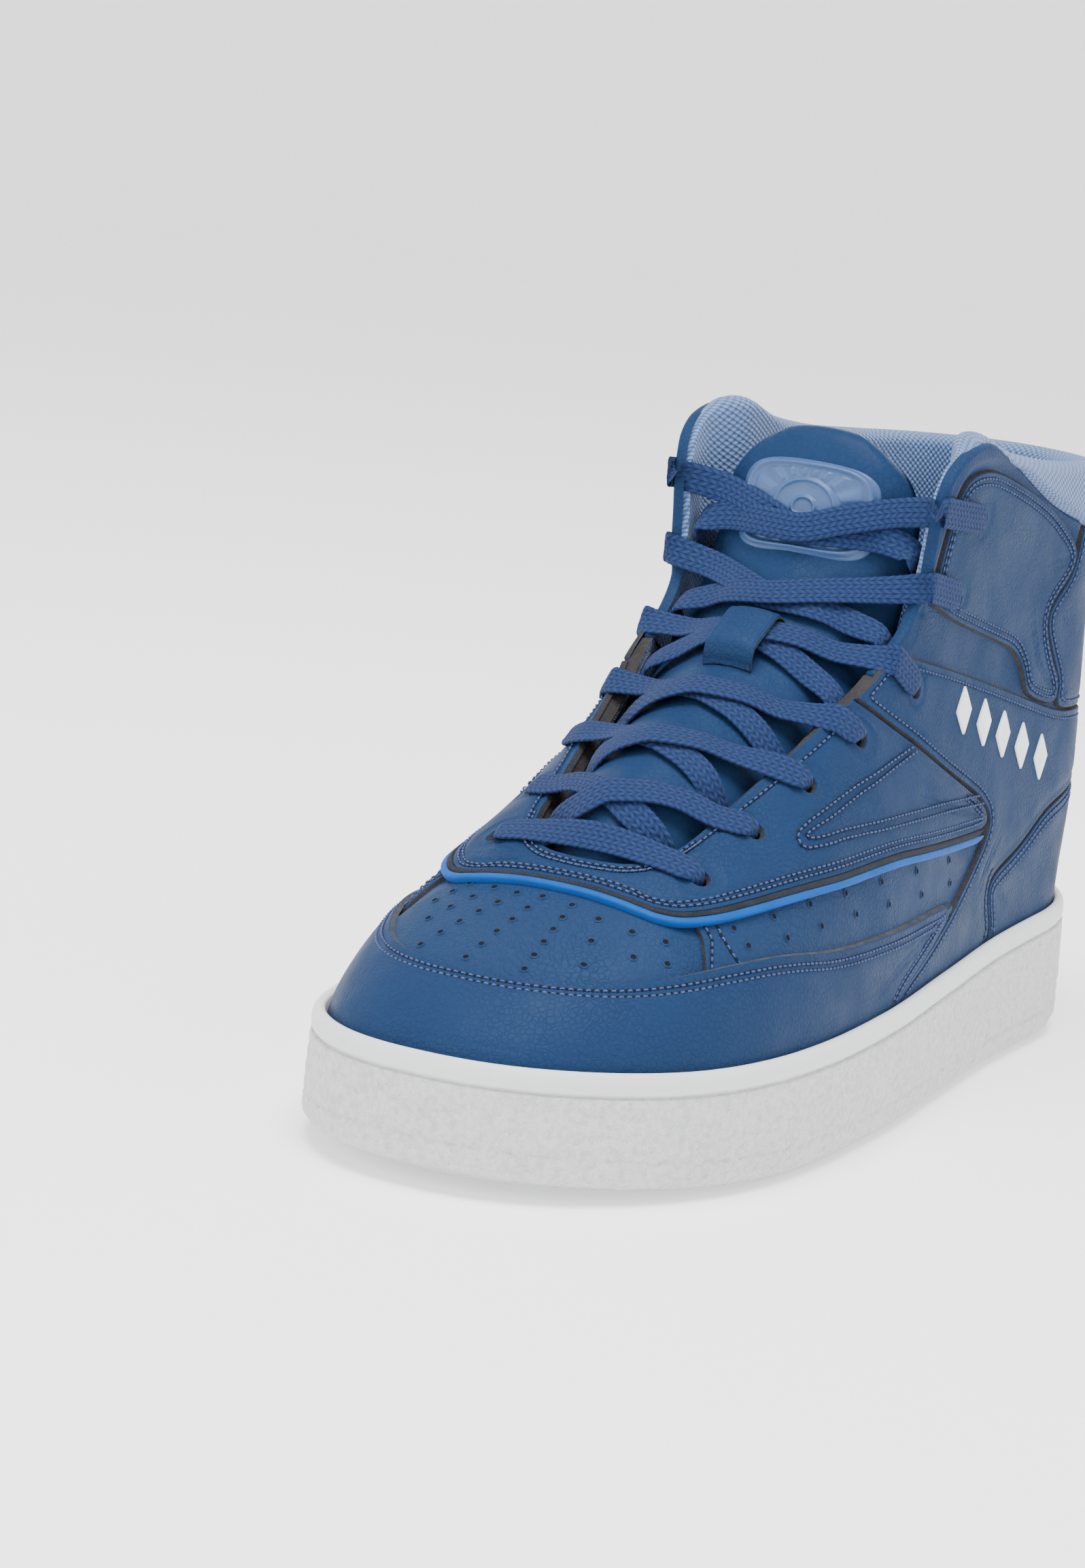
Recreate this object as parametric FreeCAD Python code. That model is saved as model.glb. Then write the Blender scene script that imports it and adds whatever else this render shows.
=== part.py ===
import FreeCAD, Part
import math
import os

Vector = FreeCAD.Vector

# A left basketball high top.  Millimetres.  Stations are measured from the heel (x), sideways from the
# sole's own centre line (+y is the outer side of the foot) and up from the ground (z).  The finished
# pieces are moved so that the origin lies on the ground under the middle of the sole.

# ---- driving dimensions ----------------------------------------------------------------------------
LENGTH = 305.0            # outsole, heel to toe
TOE_SPRING = 4.3          # how far the toe end of the sole stands off the ground
TOE_SPRING_START = 205.0  # station where the sole begins to lift
ROUND_POWER = 2.35        # superellipse power of the rounded toe and heel
TOE_ROUND = 222.0         # station where the toe's rounding starts
HEEL_ROUND = 48.0         # station where the heel's rounding starts
UPPER_INSET = 3.6         # from the sole's outline in to the upper's outer face
WALL_TOP_INSET = 1.2      # lean of the sole's side wall at its top
EDGE_ROUND = 6.0          # rounding of the sole's bottom edge
CUP_GAP = 0.2             # clearance between the cup's wall and the upper inside it
UPPER_TUCK = 4.0          # how far the upper reaches down inside the cup
ANKLE_HALF = 37.5         # half width of the shaft
TOE_END = LENGTH - 3.5    # front of the upper at the sole line
SIDE_SHIFT = 1.4          # from the sole's centre line to the middle of its width

OVERLAY = (0.0, 1.3)      # depths below the upper's outer face, outer side and inner side of each layer
BASE = (1.4, 2.7)
STIFFENER = (2.8, 3.9)
LINING = (4.2, 5.1)
ROLL = (0.9, 2.7)
TRIM = (0.2, 1.3)
COLLAR_PADDING = 5.0      # extra depth of the collar lining where foam lies behind it
BED_CLEARANCE = 3.6       # from the lining's inner face at the sole line in to the sockliner

EYELET_RADIUS = 2.4
LACE_WIDTH = 7.5
LACE_THICK = 1.3
LACE_IN_HOLE = 3.0        # width of the lace where it is pinched in a hole
KEEPER_WIDTH = 13.0
KEEPER_REACH = 12.5       # half the length of the keeper along the tongue
KEEPER_THICK = 1.2
HINGE_DEPTH = 18.5        # the tongue's bending line lies this far behind its front face, clear of its edges

PARTS = []


# ---- smooth profiles -------------------------------------------------------------------------------
def profile(points):
    """A monotone cubic through (station, value) points, held level beyond both ends."""
    xs = [p[0] for p in points]
    ys = [p[1] for p in points]
    gaps = [b - a for a, b in zip(xs, xs[1:])]
    grades = [(b - a) / gap for a, b, gap in zip(ys, ys[1:], gaps)]
    slopes = [grades[0]]
    for i in range(1, len(xs) - 1):
        before, after = grades[i - 1], grades[i]
        if before * after <= 0:
            slopes.append(0.0)
            continue
        w0 = 2 * gaps[i] + gaps[i - 1]
        w1 = gaps[i] + 2 * gaps[i - 1]
        slopes.append((w0 + w1) / (w0 / before + w1 / after))
    slopes.append(grades[-1])

    def value(x):
        if x <= xs[0]:
            return ys[0]
        if x >= xs[-1]:
            return ys[-1]
        i = 0
        while x > xs[i + 1]:
            i += 1
        t = (x - xs[i]) / gaps[i]
        rise = gaps[i] * (slopes[i] * t * (1 - t) ** 2 - slopes[i + 1] * t * t * (1 - t))
        return ys[i] + (ys[i + 1] - ys[i]) * t * t * (3 - 2 * t) + rise

    return value


def ease(t):
    t = min(max(t, 0.0), 1.0)
    return t * t * (3 - 2 * t)


outer_half = profile([(0, 36), (30, 38.5), (80, 41.5), (125, 47), (175, 53), (215, 55), (250, 53.5), (275, 51), (305, 47)])
inner_half = profile([(0, 36), (30, 37), (80, 37), (125, 39), (175, 47), (215, 55), (250, 59), (275, 59), (305, 57)])
sole_top = profile([(0, 36.5), (60, 34.7), (120, 32.5), (205, 30.2), (260, 30.0), (305, 31.3)])
instep = profile([(0, 1200), (125, 900), (135, 700), (143, 480), (152, 290), (162, 185), (178, 120), (195, 98),
                  (216, 83), (236, 72.5), (250, 65.5), (270, 59.5), (290, 55), (305, 52)])
heel_back = profile([(25, 4.2), (36, 3.9), (45, 2.6), (60, 1.0), (90, 4.5), (115, 9.5), (140, 10.5), (165, 8.0)])
ankle_tuck = profile([(30, 0), (60, 0), (90, 1.5), (120, 2.0), (150, 0), (165, -1.5)])


def centre(x):
    return (outer_half(x) - inner_half(x)) / 2


def half(x):
    return (outer_half(x) + inner_half(x)) / 2


# ---- the upper's outer face, as the zero level of a smooth function ----------------------------------
def level(x, y, z):
    """Negative inside the upper, zero on its outer face."""
    base = sole_top(x) - 6
    side = y - centre(x) * (1 - 0.8 * ease((z - 40) / 70))
    back = 1 - ease((x - 150) / 50)
    width = half(x) - UPPER_INSET
    width += (ANKLE_HALF - width) * ease((z - 38) / 75) * back - ankle_tuck(z) * back
    toe = max((x - TOE_ROUND) / (TOE_END - TOE_ROUND), 0)
    heel = max((HEEL_ROUND - x) / (HEEL_ROUND - heel_back(z)), 0)
    k = ROUND_POWER
    rho = ((abs(side) / width) ** k + toe ** k + heel ** k) ** (1 / k)
    rise = max((z - base) / (instep(x) - base), 0)
    return rho ** 2.6 + rise ** 2 - 1


def slope(p, step=0.05):
    gx = level(p.x + step, p.y, p.z) - level(p.x - step, p.y, p.z)
    gy = level(p.x, p.y + step, p.z) - level(p.x, p.y - step, p.z)
    gz = level(p.x, p.y, p.z + step) - level(p.x, p.y, p.z - step)
    return Vector(gx, gy, gz) / (2 * step)


def on_upper(p):
    """The nearby point of the upper's outer face, and the outward normal there."""
    for _ in range(8):
        g = slope(p)
        shift = level(p.x, p.y, p.z) / (g.Length ** 2)
        p = p - g * shift
    g = slope(p)
    return p, g / g.Length


# ---- sheets and solids -----------------------------------------------------------------------------
def resample(points, count):
    """Points evenly spread along a smooth curve through the given ones."""
    lengths = [0.0]
    for a, b in zip(points, points[1:]):
        lengths.append(lengths[-1] + (b - a).Length)
    tracks = [profile([(s, c) for s, c in zip(lengths, column)])
              for column in zip(*[(p.x, p.y, p.z) for p in points])]
    spots = [lengths[-1] * i / (count - 1) for i in range(count)]
    return [Vector(*[track(s) for track in tracks]) for s in spots]


def sheet(low, high, across, up):
    """A grid of (point, normal) on the upper between a low and a high row."""
    low = resample(low, across)
    high = resample(high, across)
    return [[on_upper(a + (b - a) * (j / (up - 1))) for j in range(up)] for a, b in zip(low, high)]


def surface(grid):
    spline = Part.BSplineSurface()
    spline.interpolate(grid)
    return spline.toShape()


def solid_between(outer_grid, inner_grid):
    """A closed solid between two point grids of the same size."""
    outer = surface(outer_grid)
    inner = surface(inner_grid)
    faces = [outer, inner]
    for a, b in zip(outer.Edges, inner.Edges):
        faces.append(Part.makeRuledSurface(a, b))
    shell = Part.makeShell(faces)
    shell.sewShape()
    solid = Part.makeSolid(Part.Shell(shell.Faces))
    if solid.Volume < 0:
        solid.reverse()
    return solid


def depth_at(depth, p):
    return depth(p) if callable(depth) else depth


def layer(grid, depths):
    """A layer of the upper between two depths below its outer face."""
    outer, inner = depths
    outer_grid = [[p - n * depth_at(outer, p) for p, n in row] for row in grid]
    inner_grid = [[p - n * depth_at(inner, p) for p, n in row] for row in grid]
    return solid_between(outer_grid, inner_grid)


def side_prism(outline, y_low=-90.0, y_high=90.0):
    """A prism across the shoe with the given outline of (station, height) corners."""
    corners = [Vector(x, y_low, z) for x, z in outline]
    wire = Part.makePolygon(corners + corners[:1])
    return Part.Face(wire).extrude(Vector(0, y_high - y_low, 0))


def cut_out(shape, outline, side=0):
    """The pattern piece that the outline cuts from a layer: both sides, or only one (+1 outer, -1 inner)."""
    if side == 0:
        return shape.common(side_prism(outline))
    if side > 0:
        return shape.common(side_prism(outline, 0.15, 90.0))
    return shape.common(side_prism(outline, -90.0, -0.15))


def add(name, shape):
    PARTS.append((name, shape))
    return shape


def make_room(name, *neighbours):
    """Takes the space of neighbouring parts out of a part, and drops any crumbs that this leaves."""
    index = [part_name for part_name, _ in PARTS].index(name)
    shape = PARTS[index][1]
    shapes = dict(PARTS)
    for neighbour in neighbours:
        shape = shape.cut(shapes[neighbour])
    PARTS[index] = (name, max(shape.Solids, key=lambda solid: solid.Volume))


# ---- the sole unit ---------------------------------------------------------------------------------
def outline_points(inset, z, per_side=26):
    """Points round the sole's outline at a given inset, starting at the heel, outer side first."""
    power = 2 / ROUND_POWER
    stations = []
    for i in range(per_side // 3):
        t = math.pi / 2 * i / (per_side // 3)
        stations.append((HEEL_ROUND - (HEEL_ROUND - inset) * math.cos(t) ** power, math.sin(t) ** power))
    middle = per_side - 2 * (per_side // 3)
    for i in range(middle):
        stations.append((HEEL_ROUND + (TOE_ROUND - HEEL_ROUND) * i / middle, 1.0))
    for i in range(per_side // 3 + 1):
        t = math.pi / 2 * i / (per_side // 3)
        reach = LENGTH - inset - TOE_ROUND
        stations.append((TOE_ROUND + reach * math.sin(t) ** power, max(math.cos(t), 0) ** power))
    outer = [Vector(x, centre(x) + (half(x) - inset) * w, z) for x, w in stations]
    inner = [Vector(x, centre(x) - (half(x) - inset) * w, z) for x, w in stations[-2:0:-1]]
    return outer + inner


def outline_wire(inset, z):
    spline = Part.BSplineCurve()
    spline.interpolate(outline_points(inset, z), PeriodicFlag=True)
    return Part.Wire(spline.toShape())


def block(inset_low, inset_high, z_low, z_high):
    return Part.makeLoft([outline_wire(inset_low, z_low), outline_wire(inset_high, z_high)], True)


def height_band(low, high):
    """Everything between two heights that vary along the shoe."""
    stations = [-10 + i * 15 for i in range(23)]
    lower = [Vector(x, -90, low(x)) for x in stations]
    upper = [Vector(x, -90, high(x)) for x in stations]
    bottom = Part.BSplineCurve()
    bottom.interpolate(lower)
    top = Part.BSplineCurve()
    top.interpolate(upper)
    ends = [Part.makeLine(lower[0], upper[0]), Part.makeLine(lower[-1], upper[-1])]
    wire = Part.Wire(Part.__sortEdges__([bottom.toShape(), top.toShape()] + ends))
    return Part.Face(wire).extrude(Vector(0, 180, 0))


def ground(x):
    return TOE_SPRING * (max(x - TOE_SPRING_START, 0) / (LENGTH - TOE_SPRING_START)) ** 2


def toe_wedge():
    """What lies below the lifted toe."""
    stations = [TOE_SPRING_START + i * 12 for i in range(10)]
    curve = Part.BSplineCurve()
    curve.interpolate([Vector(x, -90, ground(x)) for x in stations])
    start, end = stations[0], stations[-1]
    corners = [Vector(end, -90, ground(end)), Vector(end, -90, -9), Vector(start, -90, -9), Vector(start, -90, 0)]
    edges = [curve.toShape()] + Part.makePolygon(corners).Edges
    return Part.Face(Part.Wire(Part.__sortEdges__(edges))).extrude(Vector(0, 180, 0))


def cup_floor(x):
    return 8.0 + ground(x)


def seat(x):
    """Top of the foam insert, where the lasting board lies."""
    return sole_top(x) - 7.0


def board_top(x):
    return sole_top(x) - UPPER_TUCK - 0.9


def build_sole():
    cavity_inset = UPPER_INSET - CUP_GAP
    walls = [(EDGE_ROUND, 0), (EDGE_ROUND * 0.3, 1.6), (0.0, 7), (0.2, 18), (WALL_TOP_INSET, 42)]
    body = Part.makeLoft([outline_wire(inset, z) for inset, z in walls], True)
    body = body.cut(toe_wedge()).common(height_band(lambda x: -5.0, sole_top))
    cavity = block(cavity_inset, cavity_inset, 2, 50).common(height_band(cup_floor, lambda x: 60.0))
    add("cupsole", body.cut(cavity))
    plug = block(cavity_inset + 0.1, cavity_inset + 0.1, 2, 50)
    add("midsole_foam", plug.common(height_band(lambda x: cup_floor(x) + 0.1, seat)))
    board = block(cavity_inset + 0.3, cavity_inset + 0.3, 2, 50)
    add("lasting_board", board.common(height_band(lambda x: seat(x) + 0.1, board_top)))
    bed_inset = UPPER_INSET + LINING[1] + BED_CLEARANCE
    bed = block(bed_inset, bed_inset, 2, 60)
    add("sockliner_foam", bed.common(height_band(lambda x: board_top(x) + 0.4, lambda x: board_top(x) + 5.0)))
    add("sockliner_cover", bed.common(height_band(lambda x: board_top(x) + 5.1, lambda x: board_top(x) + 5.9)))


# ---- the upper -------------------------------------------------------------------------------------
def mirrored(points):
    """The same points followed by their mirror images, as a row that wraps round the shoe."""
    return points + [Vector(p.x, -p.y, p.z) for p in points[::-1] if p.y > 0.5]


def low_row(stations, toward):
    """Where the upper meets the lasting board: from a station, round the toe or the heel, and back."""
    points = []
    for x, w in stations:
        points.append((x, w))
    outer = [Vector(x, centre(x) + (half(x) - UPPER_INSET) * w, sole_top(x) - UPPER_TUCK) for x, w in points]
    inner = [Vector(x, centre(x) - (half(x) - UPPER_INSET) * w, sole_top(x) - UPPER_TUCK)
             for x, w in points[::-1] if w > 0.01]
    return outer + inner if toward else inner + outer


def round_end(start, end, steps=9):
    power = 2 / ROUND_POWER
    spots = []
    for i in range(steps + 1):
        t = math.pi / 2 * i / steps
        spots.append((start + (end - start) * math.sin(t) ** power, max(math.cos(t), 0) ** power))
    return spots


THROAT = [(141, 34.5, 134), (146, 34, 121), (157, 32, 111), (178, 28, 98.5), (195, 25, 89), (216, 22, 80.5),
          (232, 19, 73.5), (239, 15, 70.5), (242.5, 8, 69.5), (243.3, 0, 69.5)]
COLLAR = [(177, 28.5, 99), (157, 33, 111), (146, 35.5, 121), (143, 36, 132), (143, 37, 145), (141, 37.5, 154),
          (133, 38, 160.5), (122, 38.5, 162.5), (110, 38.5, 159), (91, 38, 152), (71, 37, 144.5),
          (50, 36, 138), (33, 32, 134), (16, 20, 131.5), (10, 0, 131)]
LINING_TOP = [(177, 28.5, 99), (157, 33, 111), (146, 35.5, 121), (143, 36, 132), (142, 37, 145), (139, 37.5, 153),
              (131, 38, 158.5), (121, 38.5, 160), (108, 38.5, 158), (90, 38, 155), (70, 37, 152.5),
              (50, 36, 151), (33, 32, 150), (16, 20, 149.5), (10, 0, 149.5)]

ACROSS = 75
UP = 13


def vectors(rows):
    return [Vector(*row) for row in rows]


def build_sheets():
    front = [(38, 1.0), (70, 1.0), (110, 1.0), (150, 1.0), (190, 1.0)] + round_end(TOE_ROUND, TOE_END)
    back = [(182, 1.0), (150, 1.0), (110, 1.0), (75, 1.0)] + round_end(HEEL_ROUND, 3.0)
    front_low = low_row(front, True)
    back_low = low_row(back, True)
    forefoot = sheet(front_low, mirrored(vectors(THROAT)), ACROSS, UP)
    ankle = sheet(back_low, mirrored(vectors(COLLAR)), ACROSS, UP)
    inside = sheet(back_low, mirrored(vectors(LINING_TOP)), ACROSS, UP)
    return forefoot, ankle, inside


# pattern outlines, as (station, height) corners seen from the side
RAND = [(171, 20), (164, 32), (140, 39), (119, 48), (128, 49), (197, 48.5), (225, 51.5), (242, 51), (262, 48.5),
        (283, 47), (310, 47), (310, 20)]
VAMP = [(246.2, 20), (246.2, 90), (310, 90), (310, 20)]
SIDE_PANEL = [(108.3, 20), (108.3, 45.2), (86.4, 58.1), (86.4, 75.8), (120, 89.7), (150, 102.6), (170, 111.8),
              (185, 130), (245.6, 100), (245.6, 20)]
QUARTER = [(-10, 20), (107.7, 20), (107.7, 44.8), (85.8, 57.8), (85.8, 76.3), (120, 90.4), (150, 103.3),
           (166, 110.4), (185, 125), (185, 180), (-10, 180)]
EYESTAY_EDGE = [(98, 64.2), (128, 65.2), (164, 67), (192, 66), (213, 65), (231, 63), (241, 61.3), (247.5, 60.6),
                (250.6, 62.5), (250.8, 90)]
EYESTAY_BACK = [(185, 125), (174.5, 107), (172.6, 103.2), (154, 94.2), (125, 81.2), (101, 71.4), (95.6, 67)]
QUARTER_FRONT = [(172, 20), (164.5, 32), (137.5, 39.7), (118, 48), (106.5, 54), (97, 60.5), (93, 66.3), (100.5, 72.2),
                 (125, 82.2), (154, 95.2), (172, 104.2)]
QUARTER_TOP = [(178, 112), (160, 120), (155, 113), (126, 107), (92, 99), (55, 90), (44, 88), (-10, 85)]
HEEL_TOP = [(-10, 69.5), (20, 67.5), (49, 63), (68, 54.5), (89, 49.5), (90, 44), (84, 35), (89, 31), (89, 20)]
COLLAR_OVERLAY = [(139.5, 124.5), (133, 122), (125, 119), (94, 111), (83, 108), (75.5, 102), (73, 95.4), (51.5, 90.2),
                  (50, 96.5), (57, 103), (63.6, 112), (62.5, 117.5), (50, 124.5), (48, 130), (53, 134.5), (70, 143),
                  (90, 149.5), (113, 155.5), (124, 156), (132, 154), (135.5, 147), (137.5, 138)]
REAR_PANEL = [(-10, 86), (44, 88.8), (50.8, 90.6), (49.2, 96), (56, 103.4), (62.6, 112), (61.6, 117), (49.4, 123.8),
              (47.2, 130), (46, 145), (-10, 145)]
LEATHER_TOP = [(150, 156), (141.3, 154.6), (133, 161), (122, 163), (110, 159.6), (91, 152.6), (71, 145), (50, 138.6),
               (33, 134.6), (16, 132), (-10, 131.4)]
LINING_SPLIT = [(120, 20), (120, 86), (150, 99), (176, 111)]


def shifted(points, sideways, down):
    return [(x + sideways, z - down) for x, z in points]


def edge_strip(near, far):
    """A narrow strip that follows the eyestay's lower edge, between two distances from it."""
    def moved(distance):
        return shifted(EYESTAY_EDGE[:7], 0, distance) + shifted(EYESTAY_EDGE[7:], distance, 0)
    return moved(near) + moved(far)[::-1]


def lining_depth(p):
    """The collar lining swells inward over its foam, behind the ankle and above the heel counter."""
    return LINING[0] + COLLAR_PADDING * ease((p.z - 84) / 18) * ease((134 - p.x) / 16)


def build_upper(forefoot, ankle, inside, holes):
    front_overlay = layer(forefoot, OVERLAY)
    front_base = layer(forefoot, BASE)
    back_overlay = layer(ankle, OVERLAY)
    back_base = layer(ankle, BASE)
    add("toe_rand", cut_out(front_overlay, RAND))
    add("vamp", cut_out(front_base, VAMP))
    add("eyestay", cut_out(front_overlay, EYESTAY_EDGE + EYESTAY_BACK).cut(holes))
    front_trim = layer(forefoot, TRIM)
    add("eyestay_foam_edge", cut_out(front_trim, edge_strip(0.2, 1.6)))
    add("eyestay_trim", cut_out(front_trim, edge_strip(1.8, 4.2)))
    sides = [("lateral", 1), ("medial", -1)]
    for word, side in sides:
        add("side_panel_" + word, cut_out(front_base, SIDE_PANEL, side).cut(holes))
        add("quarter_" + word, cut_out(back_base, QUARTER, side).cut(holes))
        add("quarter_overlay_" + word,
            cut_out(back_overlay, QUARTER_FRONT + QUARTER_TOP + shifted(HEEL_TOP, 0.8, -0.8), side).cut(holes))
        add("collar_overlay_" + word, cut_out(back_overlay, COLLAR_OVERLAY, side).cut(holes))
    add("heel_panel", cut_out(back_overlay, HEEL_TOP + [(-10, 20)]))
    add("rear_panel", cut_out(back_overlay, REAR_PANEL))
    add("toe_puff", cut_out(layer(forefoot, STIFFENER), [(259, 20), (259, 70), (310, 70), (310, 20)]))
    add("heel_counter", cut_out(layer(inside, STIFFENER), [(-10, 20), (92, 20), (84, 55), (60, 80), (-10, 80)]))
    add("vamp_lining", cut_out(layer(forefoot, LINING), LINING_SPLIT + [(185, 130), (310, 100), (310, 20)]).cut(holes))
    collar_outer = (lining_depth, lambda p: lining_depth(p) + LINING[1] - LINING[0])
    back_of_split = [(x - 0.4, z + 0.4) for x, z in LINING_SPLIT]
    add("collar_lining", cut_out(layer(inside, collar_outer),
                                 back_of_split + [(185, 130), (185, 180), (-10, 180), (-10, 20)]).cut(holes))
    foam = layer(inside, (STIFFENER[0], lambda p: max(lining_depth(p) - 0.1, STIFFENER[0] + 0.4)))
    add("collar_foam", cut_out(foam, [(-10, 90), (126, 90), (126, 180), (-10, 180)]).cut(holes))
    add("collar_roll", cut_out(layer(inside, ROLL), LEATHER_TOP + [(-10, 180), (100, 180)]))


# ---- the tongue ------------------------------------------------------------------------------------
# front face along its middle: (station, height, how fast it falls away sideways, half width)
TONGUE_LINE = [(257, 55.5, 0.030, 20), (247, 60.5, 0.032, 21), (240.5, 67, 0.034, 22), (233, 76.5, 0.034, 24),
               (221, 85.3, 0.029, 27), (204, 93.5, 0.0265, 30), (185, 102.2, 0.0225, 31), (168, 111.4, 0.0195, 30),
               (157.5, 118, 0.0175, 28.5), (149, 126.5, 0.014, 27), (143.5, 136, 0.011, 26.5), (140.5, 146, 0.009, 26.5),
               (137, 156, 0.008, 25.5), (132.5, 163.4, 0.008, 20)]
HINGE_GAP = 0.8


class Tongue:
    """The tongue's front face: a curved centre line with sides that fall away."""

    def __init__(self, rows):
        lengths = [0.0]
        for a, b in zip(rows, rows[1:]):
            lengths.append(lengths[-1] + math.hypot(b[0] - a[0], b[1] - a[1]))
        self.length = lengths[-1]
        tracks = [profile(list(zip(lengths, column))) for column in zip(*rows)]
        self.x, self.z, self.fall, self.width = tracks

    def normal(self, s):
        a = max(s - 1.5, 0)
        b = min(s + 1.5, self.length)
        dx = self.x(b) - self.x(a)
        dz = self.z(b) - self.z(a)
        size = math.hypot(dx, dz)
        return Vector(dz / size, 0, -dx / size)

    def point(self, s, y, depth=0.0):
        n = self.normal(s)
        drop = self.fall(s) * y * y + depth
        return Vector(self.x(s), y, self.z(s)) - n * drop

    def nearest(self, x, z):
        spots = [self.length * i / 400 for i in range(401)]
        return min(spots, key=lambda s: math.hypot(self.x(s) - x, self.z(s) - z))


def tongue_piece(tongue, start, end, outer, inner, margin=0.0, limit=None):
    """A layer of the tongue between two stations along it and two depths."""
    rows = 15
    columns = 13
    outer_grid = []
    inner_grid = []
    for i in range(rows):
        s = start + (end - start) * i / (rows - 1)
        half_width = (limit or tongue.width(s)) - margin
        ys = [half_width * (2 * j / (columns - 1) - 1) for j in range(columns)]
        outer_grid.append([tongue.point(s, y, depth_at(outer, s)) for y in ys])
        inner_grid.append([tongue.point(s, y, depth_at(inner, s)) for y in ys])
    return solid_between(outer_grid, inner_grid)


def build_tongue(tongue):
    hinge = tongue.nearest(152, 123)
    low_end = hinge - HINGE_GAP / 2
    high_start = hinge + HINGE_GAP / 2
    top = tongue.length

    def pad(s):
        """Foam depth: thin along the instep, puffy near the top, closing at the very top."""
        return 3.6 + 3.6 * ease((s - hinge) / 18) * (1 - 0.5 * ease((s - top + 10) / 10))

    pieces = [("lower", 0.0, low_end), ("upper", high_start, top)]
    for word, start, end in pieces:
        add("tongue_" + word + "_leather", tongue_piece(tongue, start, end, 0.0, 1.2))
        add("tongue_" + word + "_foam", tongue_piece(tongue, start, end, 1.3, pad, margin=1.0))
        add("tongue_" + word + "_lining",
            tongue_piece(tongue, start, end, lambda s: pad(s) + 0.1, lambda s: pad(s) + 0.9, margin=0.6))
    emblem_low = tongue.nearest(142.6, 138)
    emblem_high = tongue.nearest(138.5, 152.5)
    add("tongue_emblem", tongue_piece(tongue, emblem_low, emblem_high, -0.8, -0.05, limit=17.0))
    return tongue.point(hinge, 0, HINGE_DEPTH)


# ---- the lace --------------------------------------------------------------------------------------
EYELETS = [(236, 27, 68), (215, 30, 77), (194, 33, 86), (172, 36, 95), (145, 36.5, 104), (125, 36, 125),
           (118, 37, 144)]
EDGE_REACH = [9, 9, 9, 10, 14, 19, 26]   # from each hole to the edge of the throat
OVER = 0.85               # height of the lace's middle above leather
UNDER = 1.0               # depth of the lace's middle below the lining
ON_TONGUE = 2.1           # height of the lower strand's middle above the tongue
CROSSING = 1.75           # extra height of the upper strand
EDGE_HEIGHT = 8.5         # height of the throat's edge above the tongue


def eyelet(row, side):
    x, y, z = EYELETS[row]
    return on_upper(Vector(x, y * side, z))


def hole_tools():
    """One cylinder through every layer at each lace hole."""
    tools = []
    for row in range(len(EYELETS)):
        for side in (1, -1):
            p, n = eyelet(row, side)
            tools.append(Part.makeCylinder(EYELET_RADIUS, 20, p + n * 4, n * -1))
    return Part.makeCompound(tools)


def lace_section(middle, face, along, width):
    """A rectangle across the lace: face is its flat side's normal, along is its direction."""
    across = face.cross(along)
    across.normalize()
    face = along.cross(across)
    face.normalize()
    a = across * (width / 2)
    b = face * (LACE_THICK / 2)
    corners = [middle - a - b, middle + a - b, middle + a + b, middle - a + b]
    return Part.makePolygon(corners + corners[:1])


def crossing_station(tongue, row):
    """How far along the tongue two strands cross between this row and the next."""
    (x0, _, z0), (x1, _, z1) = EYELETS[row], EYELETS[row + 1]
    forward, upward = (7, 12) if row < 4 else (14, 0)
    return tongue.nearest((x0 + x1) / 2 + forward, (z0 + z1) / 2 + upward)


def tangent(p, n, target):
    """Direction in the upper's face from a point towards a target."""
    d = target - p
    d = d - n * d.dot(n)
    d.normalize()
    return d


def outside_run(row, side, centre_point):
    """From the throat's edge, over the leather, to the mouth of the hole."""
    p, n = eyelet(row, side)
    back = tangent(p, n, centre_point)
    samples = []
    reach = EDGE_REACH[row]
    steps = max(2, round(reach / 5))
    for i in range(steps):
        q, m = on_upper(p + back * (reach * (steps - i) / steps))
        samples.append((q + m * OVER, m, LACE_WIDTH))
    samples.append((p + n * OVER + back * 1.6, n, LACE_WIDTH * 0.75))
    return samples


def through_hole(row, side, centre_point):
    """Down the hole, standing across the layers."""
    p, n = eyelet(row, side)
    away = tangent(p, n, centre_point) * -1
    deep = lining_depth(p) + LINING[1] - LINING[0]
    return [(p - n * 1.0, away, LACE_IN_HOLE), (p - n * (deep - 0.7), away, LACE_IN_HOLE)]


def inside_run(row, side, centre_point):
    """From below the hole, under the lining, out to the throat's edge."""
    p, n = eyelet(row, side)
    out = tangent(p, n, centre_point)
    samples = []
    reach = EDGE_REACH[row]
    steps = max(2, round(reach / 5))
    for i in range(steps + 1):
        q, m = on_upper(p + out * max(reach * i / steps, 1.6))
        deep = lining_depth(q) + LINING[1] - LINING[0] + UNDER
        samples.append((q - m * deep, m, LACE_WIDTH * (0.75 if i == 0 else 0.9)))
    return samples


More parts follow.
